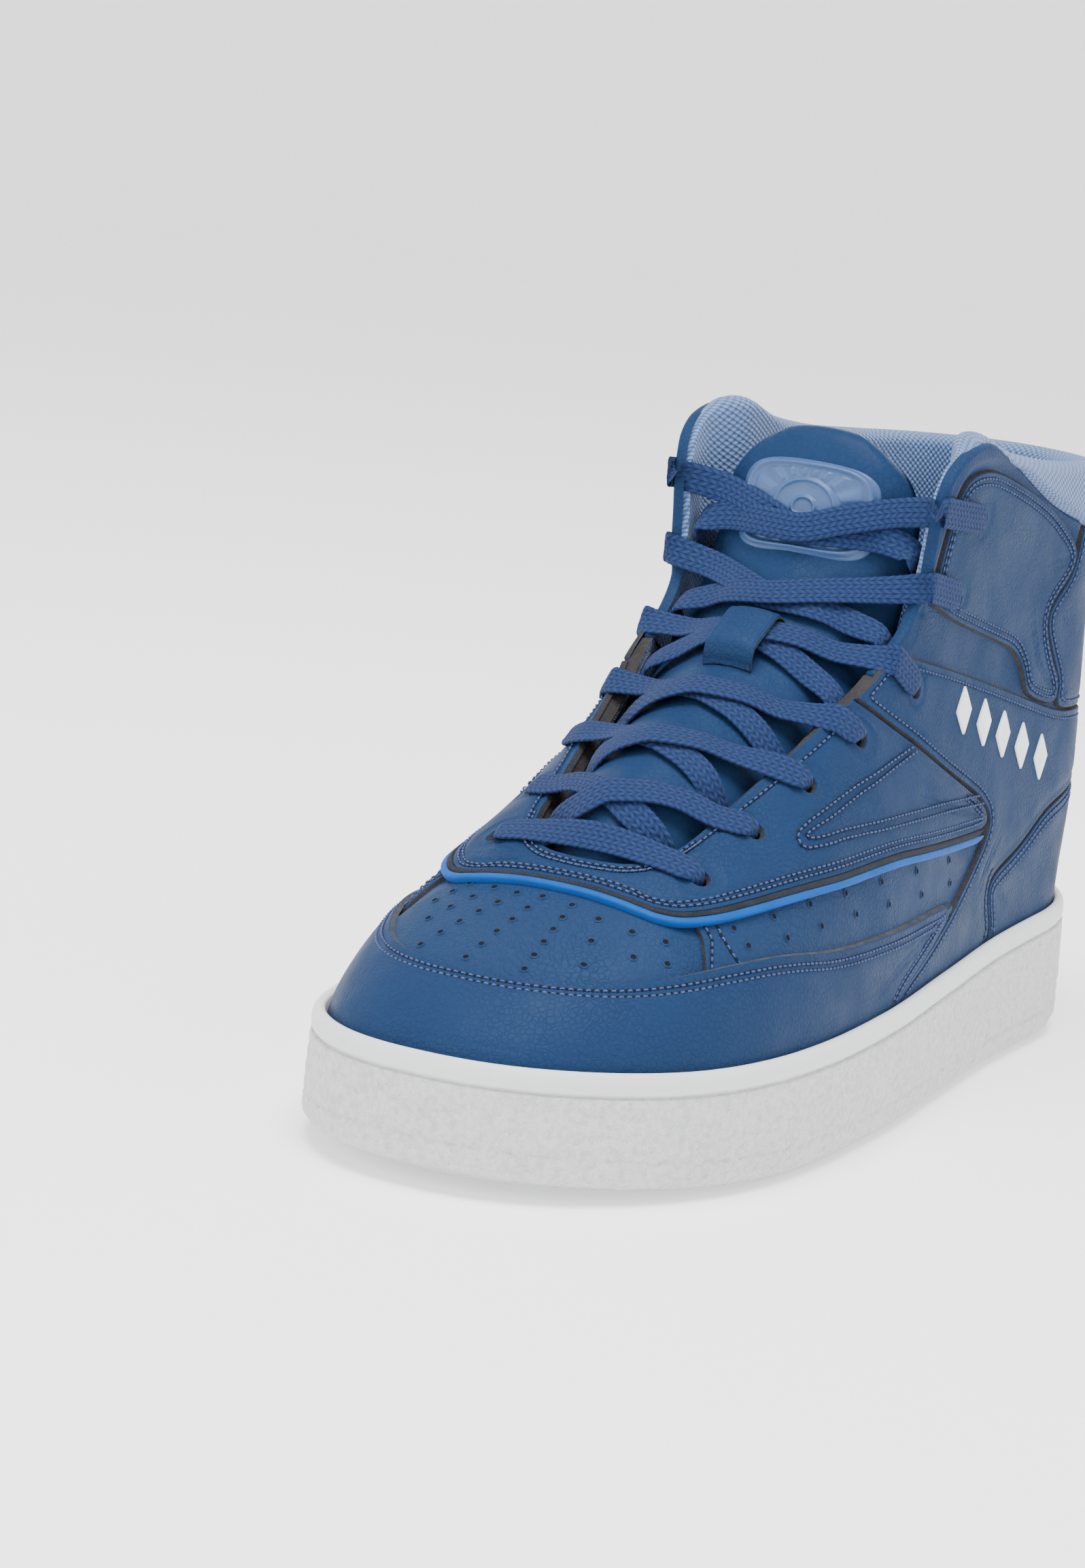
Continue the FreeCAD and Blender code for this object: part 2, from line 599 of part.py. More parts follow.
def strand(tongue, row, side):
    """From below one hole, across the tongue, to the next hole up on the other side, faces outward."""
    s = crossing_station(tongue, row)
    rise = CROSSING if side < 0 else 0.0
    middle = tongue.point(s, 0, -ON_TONGUE - rise)
    under = inside_run(row, side, middle)
    over = outside_run(row + 1, -side, middle)
    samples = list(under)
    edge = under[-1][0]
    leave = tongue.nearest(edge.x, edge.z + 4)
    for t in (0.66, 0.33):
        station = s + (leave - s) * t
        point = tongue.point(station, edge.y * t, -ON_TONGUE - rise * (1 - t))
        samples.append((point, tongue.normal(station), LACE_WIDTH))
    samples.append((middle, tongue.normal(s), LACE_WIDTH))
    edge = over[0][0]
    arrive = tongue.nearest(edge.x, edge.z + 4)
    for t in (0.3, 0.62):
        station = s + (arrive - s) * t
        climb = (EDGE_HEIGHT - ON_TONGUE) * max((t - 0.4) / 0.6, 0) ** 1.6
        point = tongue.point(station, edge.y * t, -ON_TONGUE - rise * (1 - t) - climb)
        samples.append((point, tongue.normal(station), LACE_WIDTH))
    return samples + over


def turned(samples, sign):
    return [(middle, face * sign, width) for middle, face, width in samples]


def chain(tongue, start_side):
    """Half of the lace, from the lowest hole on one side up to the top row.

    The lace turns its other face outward each time it goes down a hole."""
    samples = []
    side = start_side
    sign = 1
    rows = len(EYELETS)
    for row in range(rows):
        middle = tongue.point(crossing_station(tongue, min(row, rows - 2)), 0)
        samples += turned(through_hole(row, side, middle), sign)
        if row < rows - 1:
            samples += turned(strand(tongue, row, side), -sign)
        side = -side
        sign = -sign
    return samples


def build_lace(tongue):
    """One flat lace: a bar across the lowest holes, then both ends criss-cross up to the top row."""
    s = tongue.nearest(240, 74)
    middle = tongue.point(s, 0, -ON_TONGUE)
    bar = (middle, tongue.normal(s), LACE_WIDTH)
    left = outside_run(0, 1, middle) + chain(tongue, 1)
    right = outside_run(0, -1, middle) + chain(tongue, -1)
    samples = right[::-1] + [bar] + left
    sections = []
    for i, (middle, face, width) in enumerate(samples):
        before = samples[max(i - 1, 0)][0]
        after = samples[min(i + 1, len(samples) - 1)][0]
        sections.append(lace_section(middle, face, after - before, width))
    return Part.makeLoft(sections, True, True)


def build_lace_keeper(tongue):
    """A leather strap on the tongue's middle that arches over the crossing between rows four and five."""
    s = crossing_station(tongue, 3)
    clearance = ON_TONGUE + CROSSING + LACE_THICK + 0.5
    outer_grid = []
    inner_grid = []
    for i in range(13):
        t = 2 * i / 12 - 1
        lift = 0.1 + clearance * (1 - t ** 6)
        ys = [KEEPER_WIDTH / 2 * (j / 2 - 1) for j in range(5)]
        outer_grid.append([tongue.point(s + KEEPER_REACH * t, y, -lift - KEEPER_THICK) for y in ys])
        inner_grid.append([tongue.point(s + KEEPER_REACH * t, y, -lift) for y in ys])
    add("lace_keeper", solid_between(outer_grid, inner_grid))


def build_side_mark():
    """A plain raised row of diamonds on the outer quarter."""
    solids = []
    for x, z in [(116, 96), (102, 91.5), (88, 87), (74, 82.5), (60, 78)]:
        p, n = on_upper(Vector(x, 38, z))
        right = Vector(1, 0, 0) - n * n.x
        right.normalize()
        up = n.cross(right)
        corners = [p + n * 0.15 + right * 4.5, p + n * 0.15 + up * 6, p + n * 0.15 - right * 4.5, p + n * 0.15 - up * 6]
        solids.append(Part.Face(Part.makePolygon(corners + corners[:1])).extrude(n * 0.7))
    add("side_mark", Part.makeCompound(solids))


def main():
    os.makedirs("parts", exist_ok=True)
    build_sole()
    forefoot, ankle, inside = build_sheets()
    build_upper(forefoot, ankle, inside, hole_tools())
    tongue = Tongue(TONGUE_LINE)
    hinge = build_tongue(tongue)
    add("lace", build_lace(tongue))
    build_lace_keeper(tongue)
    build_side_mark()
    make_room("heel_counter", "collar_lining")
    make_room("vamp_lining", "tongue_lower_leather", "tongue_lower_foam")
    make_room("tongue_lower_leather", "lace")
    make_room("tongue_lower_foam", "lace")
    make_room("lace_keeper", "lace")
    make_room("collar_lining", "lace")
    make_room("quarter_lateral", "lace")
    make_room("quarter_medial", "lace")
    shift = Vector(-LENGTH / 2, SIDE_SHIFT, 0)
    print("tongue hinge", hinge + shift)
    for name, shape in PARTS:
        shape.translate(shift)
        shape.exportStep("parts/" + name + ".step")
        print(name, len(shape.Solids), shape.isValid(), round(shape.Volume, 1))


main()
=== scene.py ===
import math

import bpy
import numpy as np
from mathutils import Matrix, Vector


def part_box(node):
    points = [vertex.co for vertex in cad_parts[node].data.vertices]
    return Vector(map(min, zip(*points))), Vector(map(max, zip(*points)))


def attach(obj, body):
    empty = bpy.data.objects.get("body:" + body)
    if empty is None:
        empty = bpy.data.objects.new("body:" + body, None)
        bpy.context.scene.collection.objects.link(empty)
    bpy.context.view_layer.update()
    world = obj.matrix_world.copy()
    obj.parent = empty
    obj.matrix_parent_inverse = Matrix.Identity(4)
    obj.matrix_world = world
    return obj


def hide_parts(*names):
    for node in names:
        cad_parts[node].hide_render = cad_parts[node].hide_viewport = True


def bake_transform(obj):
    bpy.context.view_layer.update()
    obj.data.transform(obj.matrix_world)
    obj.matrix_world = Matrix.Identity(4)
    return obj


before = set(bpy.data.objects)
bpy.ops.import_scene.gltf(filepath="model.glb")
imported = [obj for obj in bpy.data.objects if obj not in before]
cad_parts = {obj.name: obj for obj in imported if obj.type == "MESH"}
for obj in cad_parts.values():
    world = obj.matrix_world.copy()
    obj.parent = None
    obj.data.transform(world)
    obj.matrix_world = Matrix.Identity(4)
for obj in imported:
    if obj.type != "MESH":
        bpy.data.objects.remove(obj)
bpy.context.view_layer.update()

# A left basketball high top.  Working units are millimetres, measured from the heel (x), sideways from the
# sole's centre line (+y is the outer side) and up from the ground.  Meshes are moved into the frame, in metres.
SOLE_LOW, SOLE_HIGH = [np.array(corner) * 1000 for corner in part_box("cupsole")]
LENGTH = 305.0
SHIFT = np.array([(SOLE_LOW[0] + SOLE_HIGH[0]) / 2 - LENGTH / 2, 1.4, 0.0])

ROUND_POWER = 2.35         # how square the plan's rounded ends are
TOE_ROUND = 222.0          # where the toe's rounding starts
HEEL_ROUND = 48.0          # where the heel's rounding starts
UPPER_INSET = 3.6          # the upper inside the sole's wall
UPPER_TUCK = 4.0           # the upper down inside the cup
ANKLE_HALF = 37.5
TOE_END = LENGTH - 3.5
TOE_SPRING = 4.3           # how far the toe lifts off the ground
TOE_SPRING_START = 205.0
FULLNESS = 2.6             # how full the shoulders of a cross-section are
OVERLAY_DEPTH = 0.0        # depths below the upper's outer face
OVERLAY_THICK = 1.38
BASE_DEPTH = 1.4
LINING_START = 4.2
LINING_THICK = 0.9
COLLAR_PADDING = 5.0
GRADIENT_STEP = 0.05
RESOLUTION = 1.0


# ---- smooth profiles ----
def profile(points):
    """A monotone cubic through (station, value) points, held level beyond both ends."""
    xs = np.array([p[0] for p in points], float)
    ys = np.array([p[1] for p in points], float)
    gaps = np.diff(xs)
    grades = np.diff(ys) / gaps
    slopes = np.empty(len(xs))
    slopes[0] = grades[0]
    slopes[-1] = grades[-1]
    for i in range(1, len(xs) - 1):
        before, after = grades[i - 1], grades[i]
        if before * after <= 0:
            slopes[i] = 0.0
            continue
        w0 = 2 * gaps[i] + gaps[i - 1]
        w1 = gaps[i] + 2 * gaps[i - 1]
        slopes[i] = (w0 + w1) / (w0 / before + w1 / after)

    def value(x):
        x = np.clip(x, xs[0], xs[-1])
        i = np.clip(np.searchsorted(xs, x, side="right") - 1, 0, len(gaps) - 1)
        t = (x - xs[i]) / gaps[i]
        rise = gaps[i] * (slopes[i] * t * (1 - t) ** 2 - slopes[i + 1] * t * t * (1 - t))
        return ys[i] + (ys[i + 1] - ys[i]) * t * t * (3 - 2 * t) + rise

    return value


def ease(t):
    t = np.clip(t, 0.0, 1.0)
    return t * t * (3 - 2 * t)


outer_half = profile([(0, 36), (30, 38.5), (80, 41.5), (125, 47), (175, 53), (215, 55), (250, 53.5), (275, 51),
                      (305, 47)])
inner_half = profile([(0, 36), (30, 37), (80, 37), (125, 39), (175, 47), (215, 55), (250, 59), (275, 59), (305, 57)])
sole_top = profile([(0, 36.5), (60, 34.7), (120, 32.5), (205, 30.2), (260, 30.0), (305, 31.3)])
instep = profile([(0, 1200), (125, 900), (135, 700), (143, 480), (152, 290), (162, 185), (178, 120), (195, 98),
                  (216, 83), (236, 72.5), (250, 65.5), (270, 59.5), (290, 55), (305, 52)])
heel_back = profile([(25, 4.2), (36, 3.9), (45, 2.6), (60, 1.0), (90, 4.5), (115, 9.5), (140, 10.5), (165, 8.0)])
ankle_tuck = profile([(30, 0), (60, 0), (90, 1.5), (120, 2.0), (150, 0), (165, -1.5)])


def centre(x):
    return (outer_half(x) - inner_half(x)) / 2


def half(x):
    return (outer_half(x) + inner_half(x)) / 2


def ground(x):
    return TOE_SPRING * (np.maximum(x - TOE_SPRING_START, 0) / (LENGTH - TOE_SPRING_START)) ** 2


# ---- the upper's outer face, as the zero level of a smooth function ----
def level(p):
    """Negative inside the upper, zero on its outer face."""
    x, y, z = p[..., 0], p[..., 1], p[..., 2]
    base = sole_top(x) - 6
    side = y - centre(x) * (1 - 0.8 * ease((z - 40) / 70))    # the sole's sideways sweep fades towards the ankle
    back = 1 - ease((x - 150) / 50)
    width = half(x) - UPPER_INSET
    width = width + (ANKLE_HALF - width) * ease((z - 38) / 75) * back - ankle_tuck(z) * back
    toe = np.maximum((x - TOE_ROUND) / (TOE_END - TOE_ROUND), 0)
    heel = np.maximum((HEEL_ROUND - x) / (HEEL_ROUND - heel_back(z)), 0)
    k = ROUND_POWER
    rho = ((np.abs(side) / width) ** k + toe ** k + heel ** k) ** (1 / k)
    rise = np.maximum((z - base) / (instep(x) - base), 0)
    return rho ** FULLNESS + rise ** 2 - 1


def gradient(field, p):
    steps = GRADIENT_STEP * np.eye(3)
    return np.stack([(field(p + e) - field(p - e)) / (2 * GRADIENT_STEP) for e in steps], -1)


def unit(v):
    return v / np.maximum(np.linalg.norm(v, axis=-1, keepdims=True), 1e-12)


def on_upper(p, rounds=8):
    """The nearby points of the upper's outer face, and the outward normals there."""
    p = np.asarray(p, float)
    for _ in range(rounds):
        g = gradient(level, p)
        p = p - g * (level(p) / np.maximum((g * g).sum(-1), 1e-12))[..., None]
    return p, unit(gradient(level, p))


def distances(points):
    """How far along a polyline each of its points lies."""
    return np.r_[0, np.cumsum(np.linalg.norm(np.diff(points, axis=0), axis=1))]


def smooth_track(spots, along, points):
    """Points at the wanted distances along a smooth curve through the given ones."""
    return np.stack([profile(list(zip(along, column)))(spots) for column in points.T], -1)


def straight_track(spots, along, points):
    return np.stack([np.interp(spots, along, column) for column in points.T], -1)


def resample(points, count):
    """Points evenly spread along a smooth curve through the given ones."""
    points = np.asarray(points, float)
    along = distances(points)
    return smooth_track(np.linspace(0, along[-1], count), along, points)


def smooth_noise(p, scale, seed=0):
    """Cheap band-limited noise in -1..1, a sum of fixed waves."""
    rng = np.random.default_rng(seed)
    total = np.zeros(p.shape[:-1])
    for _ in range(7):
        direction = unit(rng.normal(size=3)) * rng.uniform(0.6, 1.5) * 2 * math.pi / scale
        total += np.sin(p @ direction + rng.uniform(0, 2 * math.pi))
    return total / 4.0


# ---- sheets of the upper ----
class Sheet:
    """A fine grid on the upper between a low and a high row."""

    def __init__(self, low, high, across, up):
        across, up = int(across * RESOLUTION), int(up * RESOLUTION)
        low = resample(low, across)
        high = resample(high, across)
        t = np.linspace(0, 1, up)[None, :, None]
        self.p, self.n = on_upper(low[:, None] * (1 - t) + high[:, None] * t)
        self.pu = np.gradient(self.p, axis=0)
        self.pv = np.gradient(self.p, axis=1)
        steps = np.linalg.norm(np.diff(self.p, axis=1), axis=-1)
        self.up_mm = np.concatenate([np.zeros((across, 1)), np.cumsum(steps, axis=1)], axis=1)
        self.from_top = self.up_mm[:, -1:] - self.up_mm
        self.round_mm = distances(self.p[:, up // 3])[:, None] + np.zeros((1, up))

    def surface_gradient(self, values):
        """Gradient of a grid of values, along the surface, per millimetre."""
        su = np.gradient(values, axis=0)
        sv = np.gradient(values, axis=1)
        e = (self.pu ** 2).sum(-1)
        f = (self.pu * self.pv).sum(-1)
        g = (self.pv ** 2).sum(-1)
        det = np.maximum(e * g - f * f, 1e-9)
        a = (su * g - sv * f) / det
        b = (sv * e - su * f) / det
        return self.pu * a[..., None] + self.pv * b[..., None]


def sole_row(stations):
    """The low edge of a sheet, tucked into the sole, from (station, share of the half width) pairs."""
    xs = np.array([s[0] for s in stations], float)
    w = np.array([s[1] for s in stations], float)
    z = sole_top(xs) - UPPER_TUCK
    outer = np.stack([xs, centre(xs) + (half(xs) - UPPER_INSET) * w, z], -1)
    inner = np.stack([xs, centre(xs) - (half(xs) - UPPER_INSET) * w, z], -1)[::-1]
    inner = inner[np.abs(inner[:, 1] - centre(inner[:, 0])) > 0.5]
    return np.concatenate([outer, inner])


def round_end(start, end):
    """Stations round the toe or heel, with the share of the half width at each."""
    t = np.linspace(0, math.pi / 2, 19)
    power = 2 / ROUND_POWER
    return list(zip(start + (end - start) * np.sin(t) ** power, np.maximum(np.cos(t), 0) ** power))


def mirrored(points):
    """A row from the outer side to the middle, carried on round the inner side."""
    points = np.asarray(points, float)
    back = points[::-1][points[::-1][:, 1] > 0.5] * np.array([1, -1, 1])
    return np.concatenate([points, back])


# The high rows of the sheets, from the back or the ankle to the middle of the shoe, on its outer side.
THROAT = [(141, 34.5, 134), (146, 34, 121), (157, 32, 111), (178, 28, 98.5), (195, 25, 89), (216, 22, 80.5),
          (232, 19, 73.5), (239, 15, 70.5), (242.5, 8, 69.5), (243.3, 0, 69.5)]
COLLAR = [(177, 28.5, 99), (157, 33, 111), (146, 35.5, 121), (143, 36, 132), (143, 37, 145), (141, 37.5, 154),
          (133, 38, 160.5), (122, 38.5, 162.5), (110, 38.5, 159), (91, 38, 152), (71, 37, 144.5),
          (50, 36, 138), (33, 32, 134), (16, 20, 131.5), (10, 0, 131)]
LINING_TOP = [(177, 28.5, 99), (157, 33, 111), (146, 35.5, 121), (143, 36, 132), (142, 37, 145), (139, 37.5, 153),
              (131, 38, 158.5), (121, 38.5, 160), (108, 38.5, 158), (90, 38, 155), (70, 37, 152.5),
              (50, 36, 151), (33, 32, 150), (16, 20, 149.5), (10, 0, 149.5)]
# The low rows, as (station, share of the half width).
FRONT = [(38, 1.0), (70, 1.0), (110, 1.0), (150, 1.0), (190, 1.0)] + round_end(TOE_ROUND, TOE_END)
BACK = [(182, 1.0), (150, 1.0), (110, 1.0), (75, 1.0)] + round_end(HEEL_ROUND, 3.0)

forefoot = Sheet(sole_row(FRONT), mirrored(THROAT), 640, 125)
ankle = Sheet(sole_row(BACK), mirrored(COLLAR), 440, 145)
inside = Sheet(sole_row(BACK), mirrored(LINING_TOP), 300, 110)


# ---- pattern outlines ----
def rounded(points, radius=None):
    """A closed outline with its corners rounded, within a radius if one is given."""
    points = np.array(points, float)
    result = []
    for before, p, after in zip(np.roll(points, 1, 0), points, np.roll(points, -1, 0)):
        tangents = []
        for other in (before, after):
            size = np.linalg.norm(other - p)
            reach = min(size * 0.5, radius) if radius else size * 0.5
            tangents.append(p + (other - p) / max(size, 1e-6) * reach)
        start, end = tangents
        for t in np.linspace(0, 1, 7):
            result.append(start * (1 - t) ** 2 + 2 * p * t * (1 - t) + end * t * t)
    keep = [result[0]]
    for q in result[1:]:
        if np.linalg.norm(q - keep[-1]) > 0.05:
            keep.append(q)
    return np.array(keep)


NEAR_OUTLINE = 12
FAR_AWAY = 50.0


def outline_distance(points, outline):
    """Signed distance in the side view, negative inside."""
    flat = points.reshape(-1, 2)
    result = np.full(len(flat), FAR_AWAY)
    low, high = outline.min(0) - NEAR_OUTLINE, outline.max(0) + NEAR_OUTLINE
    near = np.all((flat > low) & (flat < high), axis=1)
    q = flat[near]
    best = np.full(len(q), 1e9)
    inside_flag = np.zeros(len(q), bool)
    for s, e in zip(outline, np.roll(outline, -1, axis=0)):
        d = e - s
        t = np.clip(((q - s) @ d) / max(d @ d, 1e-9), 0, 1)
        best = np.minimum(best, ((q - s - t[:, None] * d) ** 2).sum(1))
        if s[1] != e[1]:
            crosses = (s[1] > q[:, 1]) != (e[1] > q[:, 1])
            at = s[0] + (q[:, 1] - s[1]) / (e[1] - s[1]) * d[0]
            inside_flag ^= crosses & (q[:, 0] < at)
    best = np.sqrt(best)
    result[near] = np.where(inside_flag, -best, best)
    return result.reshape(points.shape[:-1])


# ---- cutting a piece out of a sheet ----
CUT_INSET = 0.35


class Cut:
    """The part of a sheet where a distance is below zero, with a clean contour."""

    def __init__(self, sheet, distance):
        slope = sheet.surface_gradient(distance)
        size = np.linalg.norm(slope, axis=-1)
        d = distance / np.clip(size, 0.35, 3.0)
        out = slope / np.maximum(size, 1e-6)[..., None]
        self.ij, self.faces, self.rim_edges = clip_grid(d + CUT_INSET)
        self.distance = self.sample(d)
        self.p, self.n = on_upper(self.sample(sheet.p), 3)
        self.outward = unit(self.sample(out))
        self.uv = np.stack([self.sample(sheet.round_mm), self.sample(sheet.up_mm)], 1)

    def sample(self, grid):
        return sample_grid(grid, self.ij)


def sample_grid(grid, ij):
    """Values of a grid at fractional places in it."""
    i = np.clip(ij[:, 0], 0, grid.shape[0] - 1.0001)
    j = np.clip(ij[:, 1], 0, grid.shape[1] - 1.0001)
    i0, j0 = i.astype(int), j.astype(int)
    fi, fj = i - i0, j - j0
    if grid.ndim == 3:
        fi, fj = fi[:, None], fj[:, None]
    low = grid[i0, j0] * (1 - fi) + grid[i0 + 1, j0] * fi
    high = grid[i0, j0 + 1] * (1 - fi) + grid[i0 + 1, j0 + 1] * fi
    return low * (1 - fj) + high * fj


def clip_grid(d):
    """Marching squares: grid coordinates, faces and contour edges of the region where d < 0."""
    nu, nv = d.shape
    inside_flag = d < 0
    ids = -np.ones((nu, nv), int)
    ids[inside_flag] = np.arange(inside_flag.sum())
    coords = [np.argwhere(inside_flag).astype(float)]
    full = inside_flag[:-1, :-1] & inside_flag[1:, :-1] & inside_flag[1:, 1:] & inside_flag[:-1, 1:]
    i, j = np.nonzero(full)
    faces = np.stack([ids[i, j], ids[i + 1, j], ids[i + 1, j + 1], ids[i, j + 1]], 1).tolist()
    some = inside_flag[:-1, :-1] | inside_flag[1:, :-1] | inside_flag[1:, 1:] | inside_flag[:-1, 1:]
    count = int(inside_flag.sum())
    extra = []
    cache = {}
    rim = []

    def crossing(a, b):
        key = (a, b) if a < b else (b, a)
        if key not in cache:
            t = d[a] / (d[a] - d[b])
            t = min(max(t, 0.04), 0.96)
            extra.append((a[0] + (b[0] - a[0]) * t, a[1] + (b[1] - a[1]) * t))
            cache[key] = count + len(extra) - 1
        return cache[key]

    for ci, cj in zip(*np.nonzero(some & ~full)):
        corners = [(ci, cj), (ci + 1, cj), (ci + 1, cj + 1), (ci, cj + 1)]
        polygon = []
        cuts = []
        for k in range(4):
            a, b = corners[k], corners[(k + 1) % 4]
            if inside_flag[a]:
                polygon.append(int(ids[a]))
            if inside_flag[a] != inside_flag[b]:
                v = crossing(a, b)
                cuts.append((len(polygon), v))
                polygon.append(v)
        if len(polygon) > 2:
            faces.append(polygon)
        if len(cuts) == 2:
            first, second = cuts
            if second[0] == first[0] + 1:
                rim.append((first[1], second[1]))
            else:
                rim.append((second[1], first[1]))
    if extra:
        coords.append(np.array(extra))
    return np.concatenate(coords), faces, rim


def contour(sheet, values, at):
    """Polylines on the sheet where a grid of values equals a number."""
    ij, _, edges = clip_grid(values - at)
    follow = {}
    for a, b in edges:
        follow.setdefault(a, []).append(b)
        follow.setdefault(b, []).append(a)
    left = set(follow)
    lines = []
    starts = [v for v in sorted(left) if len(follow[v]) == 1] + sorted(left)
    for start in starts:
        if start not in left:
            continue
        line = [start]
        left.discard(start)
        while True:
            ahead = [v for v in follow[line[-1]] if v in left]
            if not ahead:
                break
            line.append(ahead[0])
            left.discard(ahead[0])
        if len(line) > 6:
            lines.append(on_upper(sample_grid(sheet.p, ij[line]), 2)[0])
    return lines


# ---- making meshes ----
def to_frame(p):
    """Millimetres on the shoe to metres in the frame."""
    return (np.asarray(p) + SHIFT) / 1000.0


def add_object(name, data):
    obj = bpy.data.objects.new(name, data)
    bpy.context.scene.collection.objects.link(obj)
    return obj


def make_mesh(name, points, faces, materials, face_materials=None, uv=None):
    mesh = bpy.data.meshes.new(name)
    mesh.from_pydata(to_frame(points).tolist(), [], [list(f) for f in faces])
    for material in materials:
        mesh.materials.append(material)
    if face_materials is not None:
        mesh.polygons.foreach_set("material_index", np.asarray(face_materials, dtype=np.int32))
    mesh.polygons.foreach_set("use_smooth", np.ones(len(mesh.polygons), dtype=bool))
    if uv is not None:
        layer = mesh.uv_layers.new(name="mm")
        loops = np.empty(len(mesh.loops), dtype=np.int32)
        mesh.loops.foreach_get("vertex_index", loops)
        layer.data.foreach_set("uv", np.asarray(uv, dtype=np.float32)[loops].ravel())
    mesh.update()
    return add_object(name, mesh)


def grid_faces(rows, columns, start=0, closed=False):
    """Quads between the rows of a grid of points, whose rows are rings if it is closed."""
    i, j = np.meshgrid(np.arange(rows - 1), np.arange(columns if closed else columns - 1), indexing="ij")
    k = (j + 1) % columns
    quads = [i * columns + j, i * columns + k, (i + 1) * columns + k, (i + 1) * columns + j]
    return (np.stack(quads, -1).reshape(-1, 4) + start).tolist()


def flipped(faces):
    return [face[::-1] for face in faces]


def ring_of(count):
    """Cosines and sines of evenly spread angles."""
    return [(math.cos(2 * math.pi * k / count), math.sin(2 * math.pi * k / count)) for k in range(count)]


def pillow(name, front, back, materials, back_kinds, rim_kind, uv=None):
    """A closed piece from two grids of points, one behind the other, joined along their borders."""
    rows, columns = front.shape[:2]
    size = rows * columns
    loop = ([(i, 0) for i in range(rows)] + [(rows - 1, j) for j in range(1, columns)]
            + [(i, columns - 1) for i in range(rows - 2, -1, -1)] + [(0, j) for j in range(columns - 2, 0, -1)])
    ids = [i * columns + j for i, j in loop]
    faces = flipped(grid_faces(rows, columns)) + grid_faces(rows, columns, size)
    faces += [[a, b, b + size, a + size] for a, b in zip(ids, ids[1:] + ids[:1])]
    kinds = [0] * len(back_kinds) + back_kinds + [rim_kind] * len(ids)
    points = np.concatenate([front.reshape(-1, 3), back.reshape(-1, 3)])
    return make_mesh(name, points, faces, materials, kinds, None if uv is None else np.concatenate([uv, uv]))


def place(obj, body, slot, *nodes):
    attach(obj, body)
    if nodes:
        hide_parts(*nodes)


# Sections of a panel's edge, as (outward, down): a cut edge, the foot of any edge, and an edge rolled over padding.
RIM = [(0.12, 0.03), (0.22, 0.12), (0.28, 0.26)]
FOOT = 0.85
ROLLED = [(0.30, 0.06), (0.66, 0.34), (0.92, 0.85), (1.0, 1.45)]
TUCKED_THICK = 2.9


def panel(name, cut, depth, relief, materials, thick=OVERLAY_THICK, edges=RIM):
    """A leather panel: the cut's face with relief, then a rounded rim that ends in a raw edge."""
    face_depth = depth - relief(cut)
    points = [cut.p - cut.n * face_depth[:, None]]
    uv = [cut.uv]
    faces = list(cut.faces)
    kinds = [0] * len(faces)
    rim = sorted(set(v for edge in cut.rim_edges for v in edge))
    index = {v: k for k, v in enumerate(rim)}
    rim = np.array(rim, int)
    previous = None
    start = len(cut.p)
    rings = edges + [(FOOT, thick)]
    for ring, (out, drop) in enumerate(rings):
        q = cut.p[rim] + cut.outward[rim] * out
        q = q - cut.n[rim] * (face_depth[rim] + drop)[:, None]
        points.append(q)
        uv.append(cut.uv[rim])
        offset = start + ring * len(rim)
        for a, b in cut.rim_edges:
            ka, kb = index[a], index[b]
            low = (a, b) if previous is None else (previous + ka, previous + kb)
            faces.append([low[1], low[0], offset + ka, offset + kb])
            kinds.append(1 if ring == len(rings) - 1 else 0)
        previous = offset
    return make_mesh(name, np.concatenate(points), faces, materials, kinds, np.concatenate(uv))


# ---- materials ----
class Value:
    """An output in a node tree, which can be added, subtracted and multiplied."""

    def __init__(self, nodes, socket):
        self.nodes, self.socket = nodes, socket

    def __add__(self, other):
        return self.nodes.math("ADD", self, other)

    def __sub__(self, other):
        return self.nodes.math("SUBTRACT", self, other)

    def __mul__(self, other):
        return self.nodes.math("MULTIPLY", self, other)


